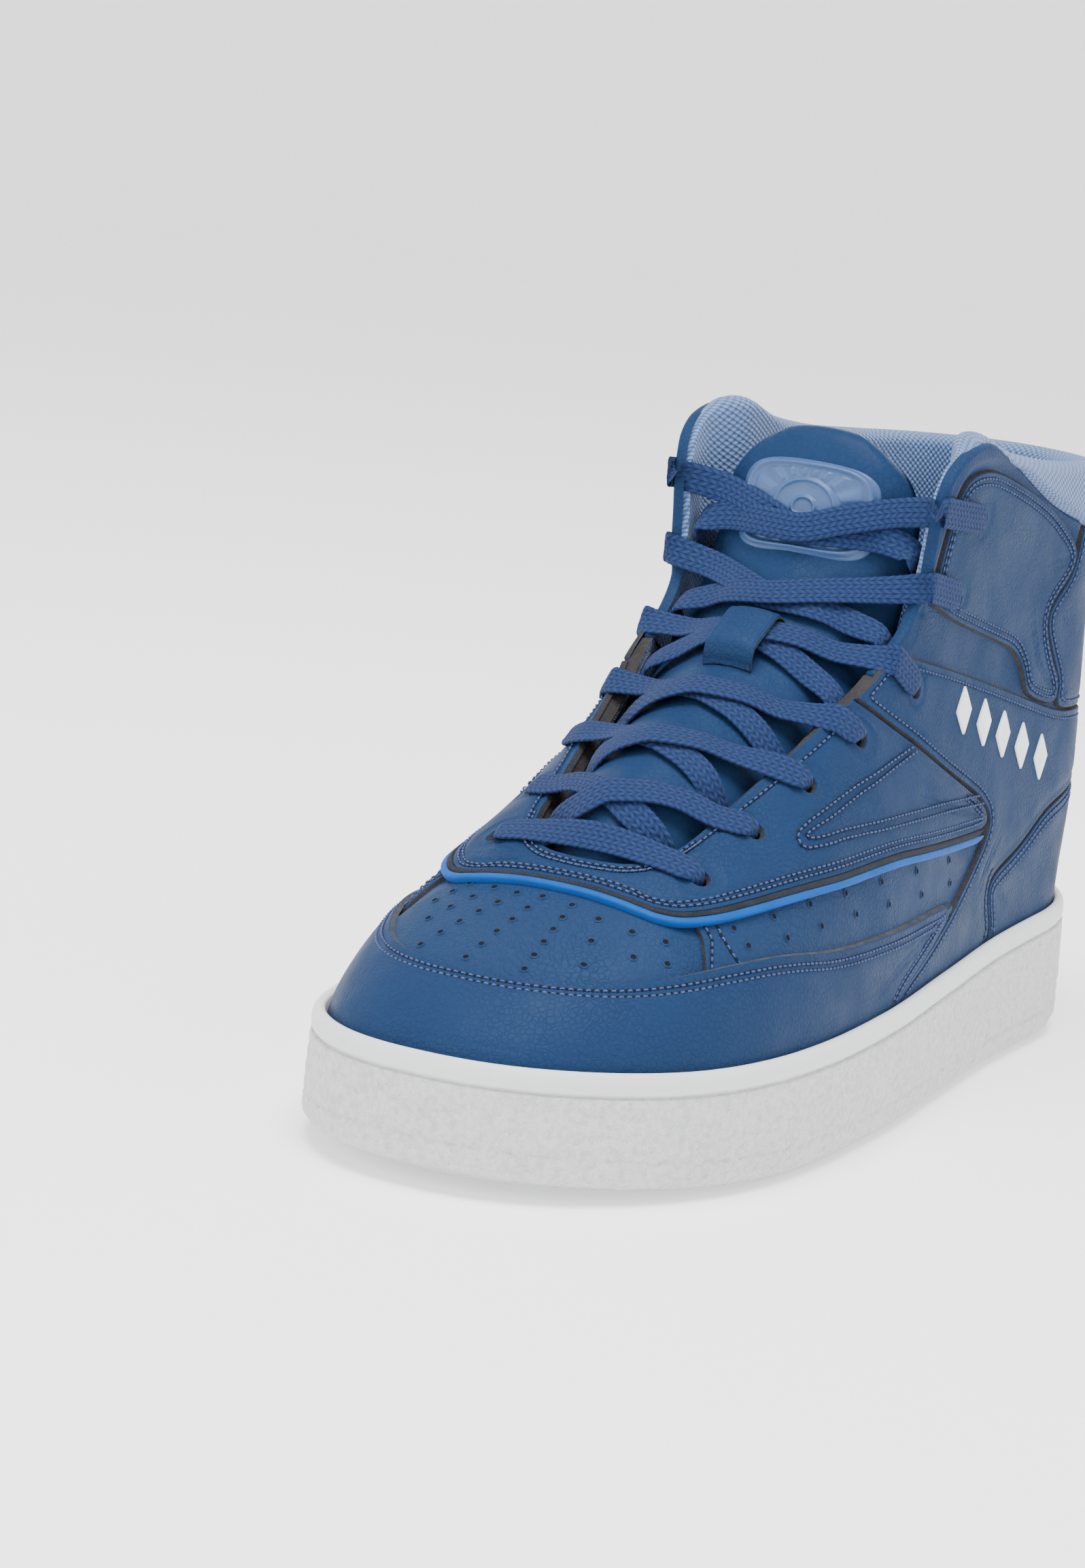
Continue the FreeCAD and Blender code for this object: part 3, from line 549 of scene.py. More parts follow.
class Nodes:
    """A small helper that builds one procedural material."""

    def __init__(self, name, colour, roughness, **sockets):
        self.material = bpy.data.materials.new(name)
        self.material.use_nodes = True
        self.tree = self.material.node_tree
        self.shader = self.tree.nodes["Principled BSDF"]
        self.colour = colour
        self.shader.inputs["Base Color"].default_value = (*colour, 1)
        self.shader.inputs["Roughness"].default_value = roughness
        for key, value in sockets.items():
            self.shader.inputs[key.replace("_", " ")].default_value = value

    def add(self, kind, inputs, output=0, **settings):
        node = self.tree.nodes.new("ShaderNode" + kind)
        for key, value in settings.items():
            setattr(node, key, value)
        for key, value in inputs.items():
            if isinstance(value, Value):
                self.tree.links.new(value.socket, node.inputs[key])
            else:
                node.inputs[key].default_value = value
        return Value(self, node.outputs[output])

    def math(self, operation, a, b=0.0):
        return self.add("Math", {0: a, 1: b}, operation=operation)

    def place(self):
        """Where a point is on the object, in metres."""
        return self.add("TexCoord", {}, "Object")

    def uv(self):
        """Where a point is along and across a sheet or the lace, in millimetres."""
        split = self.add("SeparateXYZ", {0: self.add("TexCoord", {}, "UV")})
        return split, Value(self, split.socket.node.outputs[1])

    def bent(self, where, scale, detail, amount):
        """A place pushed about by noise."""
        push = self.add("VectorMath", {0: self.noise(where, scale, detail, "Color"), 1: (amount,) * 3},
                        operation="MULTIPLY")
        return self.add("VectorMath", {0: where, 1: push}, operation="ADD")

    def noise(self, where, scale, detail, output="Fac"):
        return self.add("TexNoise", {"Vector": where, "Scale": scale, "Detail": detail}, output)

    def spread(self, value, low, high, to_low=0.0, to_high=1.0):
        """A range of values mapped to another one."""
        inputs = {"Value": value, "From Min": low, "From Max": high, "To Min": to_low, "To Max": to_high}
        return self.add("MapRange", inputs)

    def shades(self, factor, *stops):
        """A colour ramp over multiples of the base colour."""
        colours = self.add("ValToRGB", {0: factor})
        elements = colours.socket.node.color_ramp.elements
        for k, (position, shade) in enumerate(stops):
            stop = elements[k] if k < 2 else elements.new(position)
            stop.position = position
            stop.color = (*[c * shade for c in self.colour], 1)
        return colours

    def finish(self, colour, roughness, height, depth):
        bump = self.add("Bump", {"Height": height, "Distance": depth, "Strength": 1.0})
        for key, value in (("Base Color", colour), ("Roughness", roughness), ("Normal", bump)):
            if value is not None:
                self.tree.links.new(value.socket, self.shader.inputs[key])
        return self.material


def leather(name, colour, grain=1.5, depth=0.00014, gloss=0.46):
    """Coated leather: creased pebbles as wide as the grain in mm, fine pores, uneven tone and gloss, and painted
    shade in the crease lines.
    """
    m = Nodes(name, colour, gloss, Specular_IOR_Level=0.045)
    where = m.place()
    bent = m.bent(where, 330.0, 2.0, 0.0011)
    edge = m.add("TexVoronoi", {"Vector": bent, "Scale": 1000 / grain}, "Distance", feature="DISTANCE_TO_EDGE")
    crease = m.spread(edge, 0.0, 0.16)
    amount = m.spread(m.noise(where, 55.0, 3.0), 0.38, 0.62, 0.35, 1.0)
    height = crease * amount * 0.75 + m.noise(where, 2600.0, 3.0) * 0.28
    # the colour is random tone plus painted shade, darker in the grain's crease lines
    shade = m.noise(where, 34.0, 3.0) * 0.72 + crease * 0.28
    rough = m.spread(m.noise(where, 90.0, 4.0), 0.3, 0.7, gloss - 0.06, gloss + 0.1)
    return m.finish(m.shades(shade, (0.2, 0.88), (0.5, 1.0), (0.85, 1.10)), rough, height, depth)


def knit(name, colour, across=2.1, along=1.7, depth=0.0006):
    """Padded mesh: staggered rows of raised loops, with painted shade darkening the gaps between them."""
    m = Nodes(name, colour, 0.86, Sheen_Weight=0.25, Specular_IOR_Level=0.2)
    u, v = m.uv()
    column, row = u * (math.pi / across), v * (math.pi / along)
    first = m.math("SINE", column) * m.math("SINE", row)
    second = m.math("COSINE", column) * m.math("COSINE", row)
    loops = m.math("MAXIMUM", m.math("ABSOLUTE", first), m.math("ABSOLUTE", second))
    height = loops * 0.9 + m.noise(m.place(), 5200.0, 3.0) * 0.25
    # painted shade: the colour darkens in the gaps between the loops and is lighter on the loops
    shade = m.spread(loops, 0.45, 0.98, 0.0, 0.8) + m.noise(m.place(), 60.0, 3.0) * 0.3
    return m.finish(m.shades(shade, (0.08, 0.42), (0.55, 0.92), (1.0, 1.12)), None, height, depth)


def raw_edge(name, colour):
    """The cut edge of a panel: fibrous, with thin layers."""
    m = Nodes(name, colour, 0.85, Specular_IOR_Level=0.2)
    fibres = m.noise(m.place(), 2200.0, 5.0)
    shade = fibres * 0.55 + m.noise(m.place(), 240.0, 3.0) * 0.45
    return m.finish(m.shades(shade, (0.3, 0.55), (0.5, 1.0), (0.72, 1.6)), None, fibres, 0.0003)


def thread(name, colour):
    """Twisted sewing thread."""
    m = Nodes(name, colour, 0.6, Specular_IOR_Level=0.3)
    where = m.place()
    twist = m.add("TexWave", {"Vector": where, "Scale": 900.0, "Distortion": 3.0, "Detail": 1.0}, "Fac")
    return m.finish(m.shades(m.noise(where, 700.0, 2.0), (0.3, 0.8), (0.7, 1.2)), None, twist, 0.0001)


def rubber(name, colour, pebble=1.35, depth=0.0011, crease_shade=0.84):
    """Cup-sole rubber: fine irregular pebbles, slightly mottled, with painted shade in the crease lines between them
    and lighter tops.
    """
    m = Nodes(name, colour, 0.5, Specular_IOR_Level=0.4)
    where = m.place()
    bent = m.bent(where, 500.0, 3.0, 0.0012)
    cells = m.add("TexVoronoi", {"Vector": bent, "Scale": 1000 / pebble}, "Distance", feature="SMOOTH_F1")
    grit = m.noise(where, 1900.0, 4.0)
    height = grit * 0.6 - cells * 0.8
    # painted shade: the colour follows the pebbles' height, darker in the crease lines and lighter on the tops
    shade = m.noise(where, 45.0, 4.0) * 0.3 + m.spread(height, -0.3, 0.35) * 0.7
    # the first stop is the painted shade in the crease lines
    colours = m.shades(shade, (0.2, crease_shade), (0.5, 0.98), (0.8, 1.06 if crease_shade < 0.9 else 1.0))
    return m.finish(colours, m.spread(grit, 0.3, 0.7, 0.42, 0.62), height, depth)


def woven(name, colour):
    """Flat lace: a fine herringbone of yarns each side of the middle, with painted shade in the weave's hollows and a
    painted highlight on its ribs.
    """
    m = Nodes(name, colour, 0.75, Sheen_Weight=0.03, Specular_IOR_Level=0.12)
    u, v = m.uv()
    slanted = u + m.math("PINGPONG", v, 1.25) + m.noise(m.place(), 600.0, 2.0) * 0.5
    ribs = m.math("SINE", slanted * (2 * math.pi / 1.9))
    yarns = m.math("ABSOLUTE", m.math("SINE", v * (math.pi / 1.25)))
    fibres = m.noise(m.place(), 4200.0, 3.0)
    weave = ribs * 0.55 + m.spread(yarns, 0.0, 0.7, -0.5, 0.45)
    # painted shade and highlight: the colour follows the weave, dark in its hollows and bright on its ribs
    shade = m.spread(weave, -1.0, 1.0, 0.0, 0.75) + fibres * 0.3
    colours = m.shades(shade, (0.1, 0.42), (0.55, 0.95), (0.95, 1.45))
    return m.finish(colours, None, weave * 0.5 + fibres * 0.5, 0.00035)


def moulded(name, colour, roughness, shine=0.3):
    """Soft moulded plastic or printed rubber with a satin skin."""
    m = Nodes(name, colour, roughness, Specular_IOR_Level=shine)
    skin = m.noise(m.place(), 1500.0, 3.0)
    rough = m.spread(skin, 0.3, 0.7, roughness - 0.06, roughness + 0.08)
    return m.finish(m.shades(m.noise(m.place(), 80.0, 2.0), (0.3, 0.9), (0.7, 1.1)), rough, skin, 0.00008)


BLUE = (0.0100, 0.0275, 0.074)
LEATHER = leather("blue_leather", BLUE)
VAMP_LEATHER = leather("vamp_leather", (0.0120, 0.0310, 0.080), 1.6)
TONGUE_LEATHER = leather("tongue_leather", BLUE, 1.9, 0.00008, 0.38)
EDGE = raw_edge("cut_edge", (0.026, 0.023, 0.024))
PALE_EDGE = raw_edge("cut_edge_pale", (0.040, 0.042, 0.052))
MESH = knit("mesh_lining", (0.105, 0.190, 0.400))
# the mesh lining's colour darkened to about a third: painted shade for the lining inside the forefoot
SHADED_MESH = knit("lining_inside_shaded", (0.03, 0.055, 0.12))
THREAD = thread("stitch_thread", (0.040, 0.070, 0.20))
# near-black discs put where needle holes and punched holes are: painted shade of the holes
HOLE_SHADE = raw_edge("needle_hole_shade", (0.002, 0.003, 0.008))
FOAM_EDGE = raw_edge("foam_edge", (0.012, 0.014, 0.020))
TRIM = moulded("bright_trim", (0.002, 0.062, 0.270), 0.55, 0.08)
LACE = woven("lace_cloth", (0.0100, 0.024, 0.080))
RUBBER = rubber("sole_rubber", (0.62, 0.625, 0.63))
LIP = rubber("sole_lip", (0.64, 0.65, 0.66), 2.6, 0.00006, 0.96)
EMBLEM = moulded("emblem_print", (0.036, 0.078, 0.190), 0.36, 0.4)
WHITE = moulded("white_print", (0.82, 0.84, 0.86), 0.45)
SOCK = knit("sockliner_cloth", (0.06, 0.12, 0.26), 1.6, 1.3, 0.0003)
BOARD = raw_edge("fibre_board", (0.42, 0.36, 0.28))
STIFF = raw_edge("stiffener_sheet", (0.55, 0.53, 0.48))
FOAM = raw_edge("foam", (0.62, 0.62, 0.60))


# ---- the tongue's own face ----
# Along the tongue's middle: x, z, how fast it falls away sideways, half its width.
TONGUE_LINE = [(257, 55.5, 0.030, 20), (247, 60.5, 0.032, 21), (240.5, 67, 0.034, 22), (233, 76.5, 0.034, 24),
               (221, 85.3, 0.029, 27), (204, 93.5, 0.0265, 30), (185, 102.2, 0.0225, 31), (168, 111.4, 0.0195, 30),
               (157.5, 118, 0.0175, 28.5), (149, 126.5, 0.014, 27), (143.5, 136, 0.011, 26.5),
               (140.5, 146, 0.009, 26.5), (137, 156, 0.008, 25.5), (132.5, 163.4, 0.008, 20)]
TONGUE_TRACK = np.array(TONGUE_LINE, float)
TONGUE_SPOTS = np.r_[0, np.cumsum(np.hypot(*np.diff(TONGUE_TRACK[:, :2], axis=0).T))]
TONGUE_END = TONGUE_SPOTS[-1]
tongue_x, tongue_z, tongue_fall, tongue_width = [
    profile(list(zip(TONGUE_SPOTS, TONGUE_TRACK[:, c]))) for c in range(4)]


def tongue_normal(s):
    a, b = np.maximum(s - 1.5, 0), np.minimum(s + 1.5, TONGUE_END)
    dx, dz = tongue_x(b) - tongue_x(a), tongue_z(b) - tongue_z(a)
    size = np.hypot(dx, dz)
    return np.stack([dz / size, np.zeros_like(dz), -dx / size], -1)


def tongue_point(s, y, lift=0.0):
    """A point above (or, with a negative lift, below) the tongue's front face."""
    s, y = np.broadcast_arrays(np.asarray(s, float), np.asarray(y, float))
    height = lift - tongue_fall(s) * y * y
    base = np.stack([tongue_x(s), y, tongue_z(s)], -1)
    return base + tongue_normal(s) * np.asarray(height)[..., None]


def tongue_nearest(x, z):
    spots = np.linspace(0, TONGUE_END, 401)
    return spots[np.argmin(np.hypot(tongue_x(spots) - x, tongue_z(spots) - z))]


def tongue_crown(s, share):
    """How far the tongue's padding stands off its face, at a share of the half width from the middle."""
    return 0.7 * (1 - share ** 2) + 1.5 * ease((s - TONGUE_END + 26) / 14) * (1 - share ** 4)


HINGE = tongue_nearest(152, 123)


# ---- lace holes ----
EYELETS = [(236, 27, 68), (215, 30, 77), (194, 33, 86), (172, 36, 95), (145, 36.5, 104), (125, 36, 125),
           (118, 37, 144)]
EDGE_REACH = [9, 9, 9, 10, 14, 19, 26]     # from each hole to the throat's edge
HOLE_RADIUS = 2.3


def eyelet(row, side):
    """A lace hole's middle on the upper, and the normal there."""
    x, y, z = EYELETS[row]
    return on_upper(np.array([x, y * side, z], float))


HOLES = np.array([eyelet(row, side)[0] for row in range(len(EYELETS)) for side in (1, -1)])


def hole_distance(p):
    """Positive within a lace hole, negative away from all of them."""
    return HOLE_RADIUS - np.min([np.linalg.norm(p - hole, axis=-1) for hole in HOLES], axis=0)


# ---- pattern pieces, in the side view as (x, z) ----
RAND = [(171, 20), (164, 32), (140, 39), (119, 48), (128, 49), (197, 48.5), (225, 51.5), (242, 51), (262, 48.5),
        (283, 47), (310, 47), (318, 34), (310, 20)]
VAMP = [(241.5, 20), (241.5, 90), (310, 90), (318, 55), (310, 20)]
SIDE_PANEL = [(108.3, 20), (108.3, 45.2), (86.4, 58.1), (86.4, 75.8), (120, 89.7), (150, 102.6), (170, 111.8),
              (185, 130), (244.2, 100), (244.2, 61), (245, 57.2), (246.8, 54.6), (249.7, 50.4), (252, 46), (252, 20)]
QUARTER = [(-10, 20), (107.7, 20), (107.7, 44.8), (85.8, 57.8), (85.8, 76.3), (120, 90.4), (150, 103.3),
           (166, 110.4), (185, 125), (185, 180), (-10, 180)]
EYESTAY_EDGE = [(98, 64.2), (128, 65.2), (164, 67), (192, 66), (213, 65), (231, 63), (241, 61.3), (247.5, 60.6),
                (250.6, 62.5), (250.8, 90)]
EYESTAY_BACK = [(185, 125), (174.5, 107), (172.6, 103.2), (154, 94.2), (125, 81.2), (101, 71.4), (95.6, 67)]
EYESTAY = EYESTAY_EDGE + EYESTAY_BACK
QUARTER_FRONT = [(172, 20), (164.5, 32), (137.5, 39.7), (118, 48), (106.5, 54), (97, 60.5), (93, 66.3), (100.5, 72.2),
                 (125, 82.2), (154, 95.2), (172, 104.2)]
QUARTER_TOP = [(178, 112), (160, 120), (155, 113), (126, 107), (92, 99), (55, 90), (44, 88), (-10, 85)]
HEEL_TOP = [(-10, 69.5), (20, 67.5), (49, 63), (68, 54.5), (89, 49.5), (90, 44), (84, 35), (89, 31), (89, 20)]
QUARTER_OVERLAY = QUARTER_FRONT + QUARTER_TOP + [(x + 0.8, z + 0.8) for x, z in HEEL_TOP]
COLLAR_OVERLAY = [(139.5, 124.5), (133, 122), (125, 119), (94, 111), (83, 108), (75.5, 102), (73, 95.4), (51.5, 90.2),
                  (50, 96.5), (57, 103), (63.6, 112), (62.5, 117.5), (50, 124.5), (48, 130), (53, 134.5), (70, 143),
                  (90, 149.5), (113, 155.5), (124, 156), (132, 154), (135.5, 147), (137.5, 138)]
REAR_PANEL = [(-10, 86), (44, 88.8), (50.8, 90.6), (49.2, 96), (56, 103.4), (62.6, 112), (61.6, 117), (49.4, 123.8),
              (47.2, 130), (46, 145), (-10, 145)]
LEATHER_TOP = [(150, 156), (141.3, 154.6), (133, 161), (122, 163), (110, 159.6), (91, 152.6), (71, 145), (50, 138.6),
               (33, 134.6), (16, 132), (-10, 131.4)]
leather_top = profile(LEATHER_TOP[::-1])


def pattern(sheet, outline, side=0, top_gap=0.1, rounding=None):
    """Distance of a pattern piece over a sheet, in millimetres along the surface, with and without lace holes."""
    d = outline_distance(sheet.p[..., [0, 2]], rounded(outline, rounding))
    d = d / np.clip(np.linalg.norm(sheet.surface_gradient(d), axis=-1), 0.35, 1.6)
    d = np.maximum(d, top_gap - sheet.from_top)
    if side:
        d = np.maximum(d, 0.15 - side * sheet.p[..., 1])
    return np.maximum(d, hole_distance(sheet.p)), d


def groove(distance, at):
    return -0.17 * np.exp(-((distance + at) / 0.7) ** 2)


def unevenness(p, seed):
    """How far hand-lasted leather stands off the ideal surface."""
    return 0.11 * smooth_noise(p, 36.0, seed) + 0.018 * smooth_noise(p, 13.0, seed + 1)


def soft_leather(rows, swell, seed, extra):
    """Relief of a sewn panel: sunk along its stitch rows and edge, slightly uneven between them."""
    def relief(cut):
        d = cut.distance
        height = unevenness(cut.p, seed) + 0.6 * swell * ease((-d - 1.2) / 3.6)
        for row in rows:
            height = height + groove(d, row)
        if extra is not None:
            height = height + extra(cut.p)
        return height
    return relief


BAND_TAPER = 6.0
STITCH_PITCH = 1.95
STITCH_LENGTH = 1.3
STITCH_RADIUS = 0.26
STITCH_SIDES = 6
# Sections of a stitch, as (along it, share of its radius, height): sunk at both ends.
STITCH_RINGS = [(-0.04, 0.35, -0.16), (0.12, 0.85, 0.12), (0.5, 1.0, 0.28), (0.88, 0.85, 0.12), (1.04, 0.35, -0.16)]
NEEDLE_HOLE = 0.42
NEEDLE_SIDES = 8


def sew(curves):
    """Rows of stitches along curves on the upper: rounded threads with a near-black disc of painted shade for the
    needle hole at each end.
    """
    points, faces, kinds = [], [], []
    for curve, height in curves:
        along = distances(curve)
        count = int(along[-1] // STITCH_PITCH)
        if count < 2:
            continue
        mids = (np.arange(count) + 0.5) * along[-1] / count
        low, n_low = on_upper(straight_track(mids - STITCH_LENGTH / 2, along, curve), 2)
        high, n_high = on_upper(straight_track(mids + STITCH_LENGTH / 2, along, curve), 2)
        for a, b, na, nb, level_here in zip(low, high, n_low, n_high, np.interp(mids, along, height)):
            across, ahead = unit(np.cross(b - a, na)), unit(b - a)
            faces += grid_faces(len(STITCH_RINGS), STITCH_SIDES, len(points), closed=True)
            kinds += [0] * (len(faces) - len(kinds))
            for t, size, rise in STITCH_RINGS:
                middle = a + (b - a) * t + na * (level_here + rise)
                points += [middle + (across * c + na * q) * STITCH_RADIUS * size for c, q in ring_of(STITCH_SIDES)]
            # at each end a flat near-black disc: painted shade for the needle hole
            for end, n in ((a - (b - a) * 0.2, na), (b + (b - a) * 0.2, nb)):
                first = len(points)
                points.append(end + n * (level_here + 0.16))
                points += [end + n * (level_here + 0.14) + (across * c + ahead * q) * NEEDLE_HOLE
                           for c, q in ring_of(NEEDLE_SIDES)]
                faces += [(first, first + 1 + k, first + 1 + (k + 1) % NEEDLE_SIDES) for k in range(NEEDLE_SIDES)]
                kinds += [1] * NEEDLE_SIDES
    place(make_mesh("stitching", np.array(points), faces, [THREAD, HOLE_SHADE], kinds), "shoe", "blue_leather")


def stretches(line, good, least):
    """The unbroken parts of a line where a flag holds, if they have enough points."""
    parts = np.split(np.arange(len(line)), np.nonzero(np.diff(good.astype(int)))[0] + 1)
    return [line[part] for part in parts if good[part[0]] and len(part) > least]


def above_sole(lines, keep=None):
    """Cut lines where they go down inside the cup or leave the wanted region."""
    result = []
    for line in lines:
        good = line[:, 2] > sole_top(line[:, 0]) + 0.6
        if keep is not None:
            good &= keep(line)
        result += stretches(line, good, 8)
    return result


def smoothed(line, rounds=6):
    for _ in range(rounds):
        line = np.concatenate([line[:1], (line[:-2] + 2 * line[1:-1] + line[2:]) / 4, line[-1:]])
    return line


class Panels:
    """Makes the leather pieces of the upper and remembers the stitch rows that they need."""

    def __init__(self):
        self.rows = []

    def make(self, node, sheet, outline, depth=OVERLAY_DEPTH, material=LEATHER, side=0, stitches=(),
             thick=OVERLAY_THICK, edge=EDGE, keep=None, rounding=None, seed=1, swell=0.25, extra=None, edges=RIM):
        """A piece within an outline, on one side or both; stitches are the rows' distances from its edge."""
        d, edge_distance = pattern(sheet, outline, side, rounding=rounding)
        relief = soft_leather(stitches, swell, seed, extra)
        skin = panel(node + "_skin", Cut(sheet, d), depth, relief, [material, edge], thick, edges)
        place(skin, "shoe", "blue_leather", node)
        for row in stitches:
            for line in above_sole(contour(sheet, edge_distance, -row), keep):
                line = smoothed(line)
                self.rows.append((line, unevenness(line, seed) - depth - 0.12))
        return edge_distance


def sweep(name, lines, section, material):
    """A closed section (sideways, outward) swept along curves on the upper, tapered at the ends."""
    points, faces = [], []
    count = len(section)
    for line in lines:
        line = smoothed(line, 10)
        _, n = on_upper(line, 1)
        along = unit(np.gradient(line, axis=0))
        across = unit(np.cross(n, along))
        reach = distances(line)
        size = np.clip(np.minimum(reach, reach[-1] - reach) / BAND_TAPER, 0.05, 1) ** 0.5
        start = len(points)
        for p, a, m, share in zip(line, across, n, size):
            points += [p + a * sideways * share + m * (out * share) for sideways, out in section]
        faces += grid_faces(len(line), count, start, closed=True)
        faces.append(tuple(range(start, start + count))[::-1])
        faces.append(tuple(range(len(points) - count, len(points))))
    return make_mesh(name, np.array(points), faces, [material])


# ---- the upper ----
COLLAR_EDGE = rounded(COLLAR_OVERLAY, 9.0)
REAR_EDGE = rounded(REAR_PANEL, 8.0)


def collar_rim(p):
    """The quarter's leather swells over the collar padding, between the sewn-on overlays and its own edge."""
    flat = np.asarray(p)[..., [0, 2]]
    clear = np.minimum(outline_distance(flat, COLLAR_EDGE), outline_distance(flat, REAR_EDGE))
    return 1.7 * ease(clear / 4.5) * ease((flat[..., 1] - 121) / 8) * ease((158 - flat[..., 0]) / 8)


seam_x = profile([(44, 252), (50.4, 249.7), (54.6, 246.8), (57.2, 245), (61, 244.2), (90, 244.2)])


def tucked_back(p):
    """The vamp dives under the side panels at its back edge."""
    ahead = seam_x(p[..., 2]) - p[..., 0]
    return -1.15 * ease((ahead + 8) / 8) - 0.5 * ease((ahead + 0.5) / 1.5)


def heel_hollow(p):
    """The overlay stands a little further off round the heel."""
    return 0.5 * np.exp(-((p[..., 2] - 100) / 22) ** 2) * ease((40 - p[..., 0]) / 25)


def build_upper():
    """All leather pieces and the two bands; returns the stitch rows, as (line, height)."""
    panels = Panels()
    make = panels.make
    make("vamp", forefoot, VAMP, BASE_DEPTH, VAMP_LEATHER, seed=11, swell=0.1, extra=tucked_back)
    for word, side in (("lateral", 1), ("medial", -1)):
        make("side_panel_" + word, forefoot, SIDE_PANEL, BASE_DEPTH, VAMP_LEATHER, side, thick=TUCKED_THICK,
             seed=12, swell=0.1)
        make("quarter_" + word, ankle, QUARTER, BASE_DEPTH, side=side, thick=TUCKED_THICK, seed=13,
             extra=collar_rim, edge=LEATHER, edges=ROLLED)
        make("quarter_overlay_" + word, ankle, QUARTER_OVERLAY, side=side, stitches=(2.0,), seed=14,
             extra=heel_hollow, rounding=7.0, keep=lambda p: (p[:, 0] > 88) | (p[:, 2] > 80))
        make("collar_overlay_" + word, ankle, COLLAR_OVERLAY, side=side, stitches=(1.5, 3.0), seed=15, rounding=9.0)
    make("toe_rand", forefoot, RAND, stitches=(2.3, 3.8), edge=PALE_EDGE, seed=16, keep=lambda p: p[:, 0] > 128)
    lower = make("eyestay", forefoot, EYESTAY, stitches=(1.7, 3.0), seed=17, swell=0.4,
                 keep=lambda p: (p[:, 2] < 74) & (p[:, 0] > 100), rounding=9.0)
    make("heel_panel", ankle, HEEL_TOP + [(-10, 20)], stitches=(1.6, 3.5), seed=18, rounding=8.0)
    make("rear_panel", ankle, REAR_PANEL, stitches=(1.8,), seed=19, rounding=8.0, keep=lambda p: p[:, 0] > 12)
    throat_rows = [line for line in above_sole(contour(forefoot, forefoot.from_top, 3.2)) if len(line) > 60]
    for line in throat_rows:
        good = (line[:, 0] > 150) & (outline_distance(line[:, [0, 2]], rounded(EYESTAY)) < -3)
        for part in stretches(line, good, 30):
            sewn = smoothed(part)
            panels.rows.append((sewn, unevenness(sewn, 17) + 0.1))
    bead = [(math.copysign(abs(c) ** 0.6, c), math.copysign(abs(q) ** 0.6, q)) for c, q in ring_of(18)]
    for name, at, wide, high, sunk, material, slot, node in (
            ("eyestay_foam_band", 0.75, 0.85, 1.05, 0.75, FOAM_EDGE, "dark_edge", "eyestay_foam_edge"),
            ("eyestay_bright_band", 2.35, 1.0, 1.2, 0.85, TRIM, "bright_trim", "eyestay_trim")):
        lines = above_sole(contour(forefoot, lower, at), keep=lambda p: (p[:, 2] < 72) & (p[:, 0] > 99))
        place(sweep(name, lines, [(wide * c, high * q - sunk) for c, q in bead], material), "shoe", slot, node)
    return panels.rows


def draped(points, side, count=60):
    """A side-view line laid on one side of the upper."""
    line = resample(np.array([(x, 0.0, z) for x, z in points]), count)
    low, high = np.zeros(count), np.full(count, 80.0)
    for _ in range(24):
        line[:, 1] = side * (low + high) / 2
        within = level(line) < 0
        low, high = np.where(within, (low + high) / 2, low), np.where(within, high, (low + high) / 2)
    return line


POINTED_BAND = [
    [(147.6, 90.4), (174.6, 84.8), (191, 80.6), (201.6, 77), (205.4, 75), (206.2, 73.6), (204.8, 72.3), (199, 72.5),
     (187.4, 73.3), (165, 73.1), (133, 72.5), (101, 71)],
    [(145.4, 89.2), (174.6, 82.8), (192, 78.2), (201, 75.7), (203.2, 74.7), (201.6, 74.2), (186.7, 75.2), (164, 75.2),
     (133.4, 74.7), (104.5, 73.3)]]
SEAM_ROWS = [[(243.0, 60.2), (243.8, 56.6), (245.3, 54.6), (248.4, 50.6), (249.6, 48.8)],
             [(239.8, 60.4), (241.2, 56.4), (241.2, 54.2), (240.2, 50.4)]]


def decoration_rows():
    """Stitched decoration: double rows forming a pointed band on each side, and the vamp seam's rows."""
    rows = []
    for side in (1, -1):
        for points in POINTED_BAND:
            line = draped(points, side, 150)
            rows.append((line, unevenness(line, 17) + 0.38))
        for points in SEAM_ROWS:
            line = draped(points, side, 24)
            rows.append((line, unevenness(line, 12) - BASE_DEPTH + 0.1))
    return rows


# Columns of punched holes on the toe, as (x and y of both ends, how many), and single holes in the side panels.
TOE_COLUMNS = [(256.4, 4.8, 278.5, 5.6, 6), (255.8, -3.2, 279.0, -9.4, 6), (256.1, -9.8, 275.6, -23.2, 6),
               (254.7, -16.6, 265.4, -27.4, 4), (252.6, -24.2, 257.4, -30.6, 3), (257.9, 12.7, 271.3, 16.9, 3),
               (257.0, 21.2, 262.4, 24.9, 2), (253.7, 28.4, 257.6, 31.4, 2)]
SIDE_HOLES = [(237, 58.4), (223.6, 59.8), (209, 61), (192, 61.5), (172, 61.5), (149, 60.8), (123, 59.6),
              (235.6, 54.6), (221.6, 54.9), (206.3, 55.7), (188, 56), (168.5, 55.6), (145.3, 54.5), (121.4, 53.6)]
# Sections of a punched hole, as (radius, height), from its raised lip down into it.
PUNCH_RINGS = [(1.15, 0.06), (0.9, 0.18), (0.72, 0.2), (0.6, 0.12), (0.45, -0.02)]
PUNCH_SIDES = 14


def perforation_spots():
    spots = []
    for x0, y0, x1, y1, count in TOE_COLUMNS:
        for x, y in zip(np.linspace(x0, x1, count), np.linspace(y0, y1, count)):
            column = np.stack([np.full(200, x), np.full(200, y), np.linspace(44, 80, 200)], -1)
            spots.append(column[np.argmin(np.abs(level(column)))])
    for side in (1, -1):
        spots += [draped([(x, z), (x - 0.2, z)], side, 2)[0] for x, z in SIDE_HOLES]
    return spots


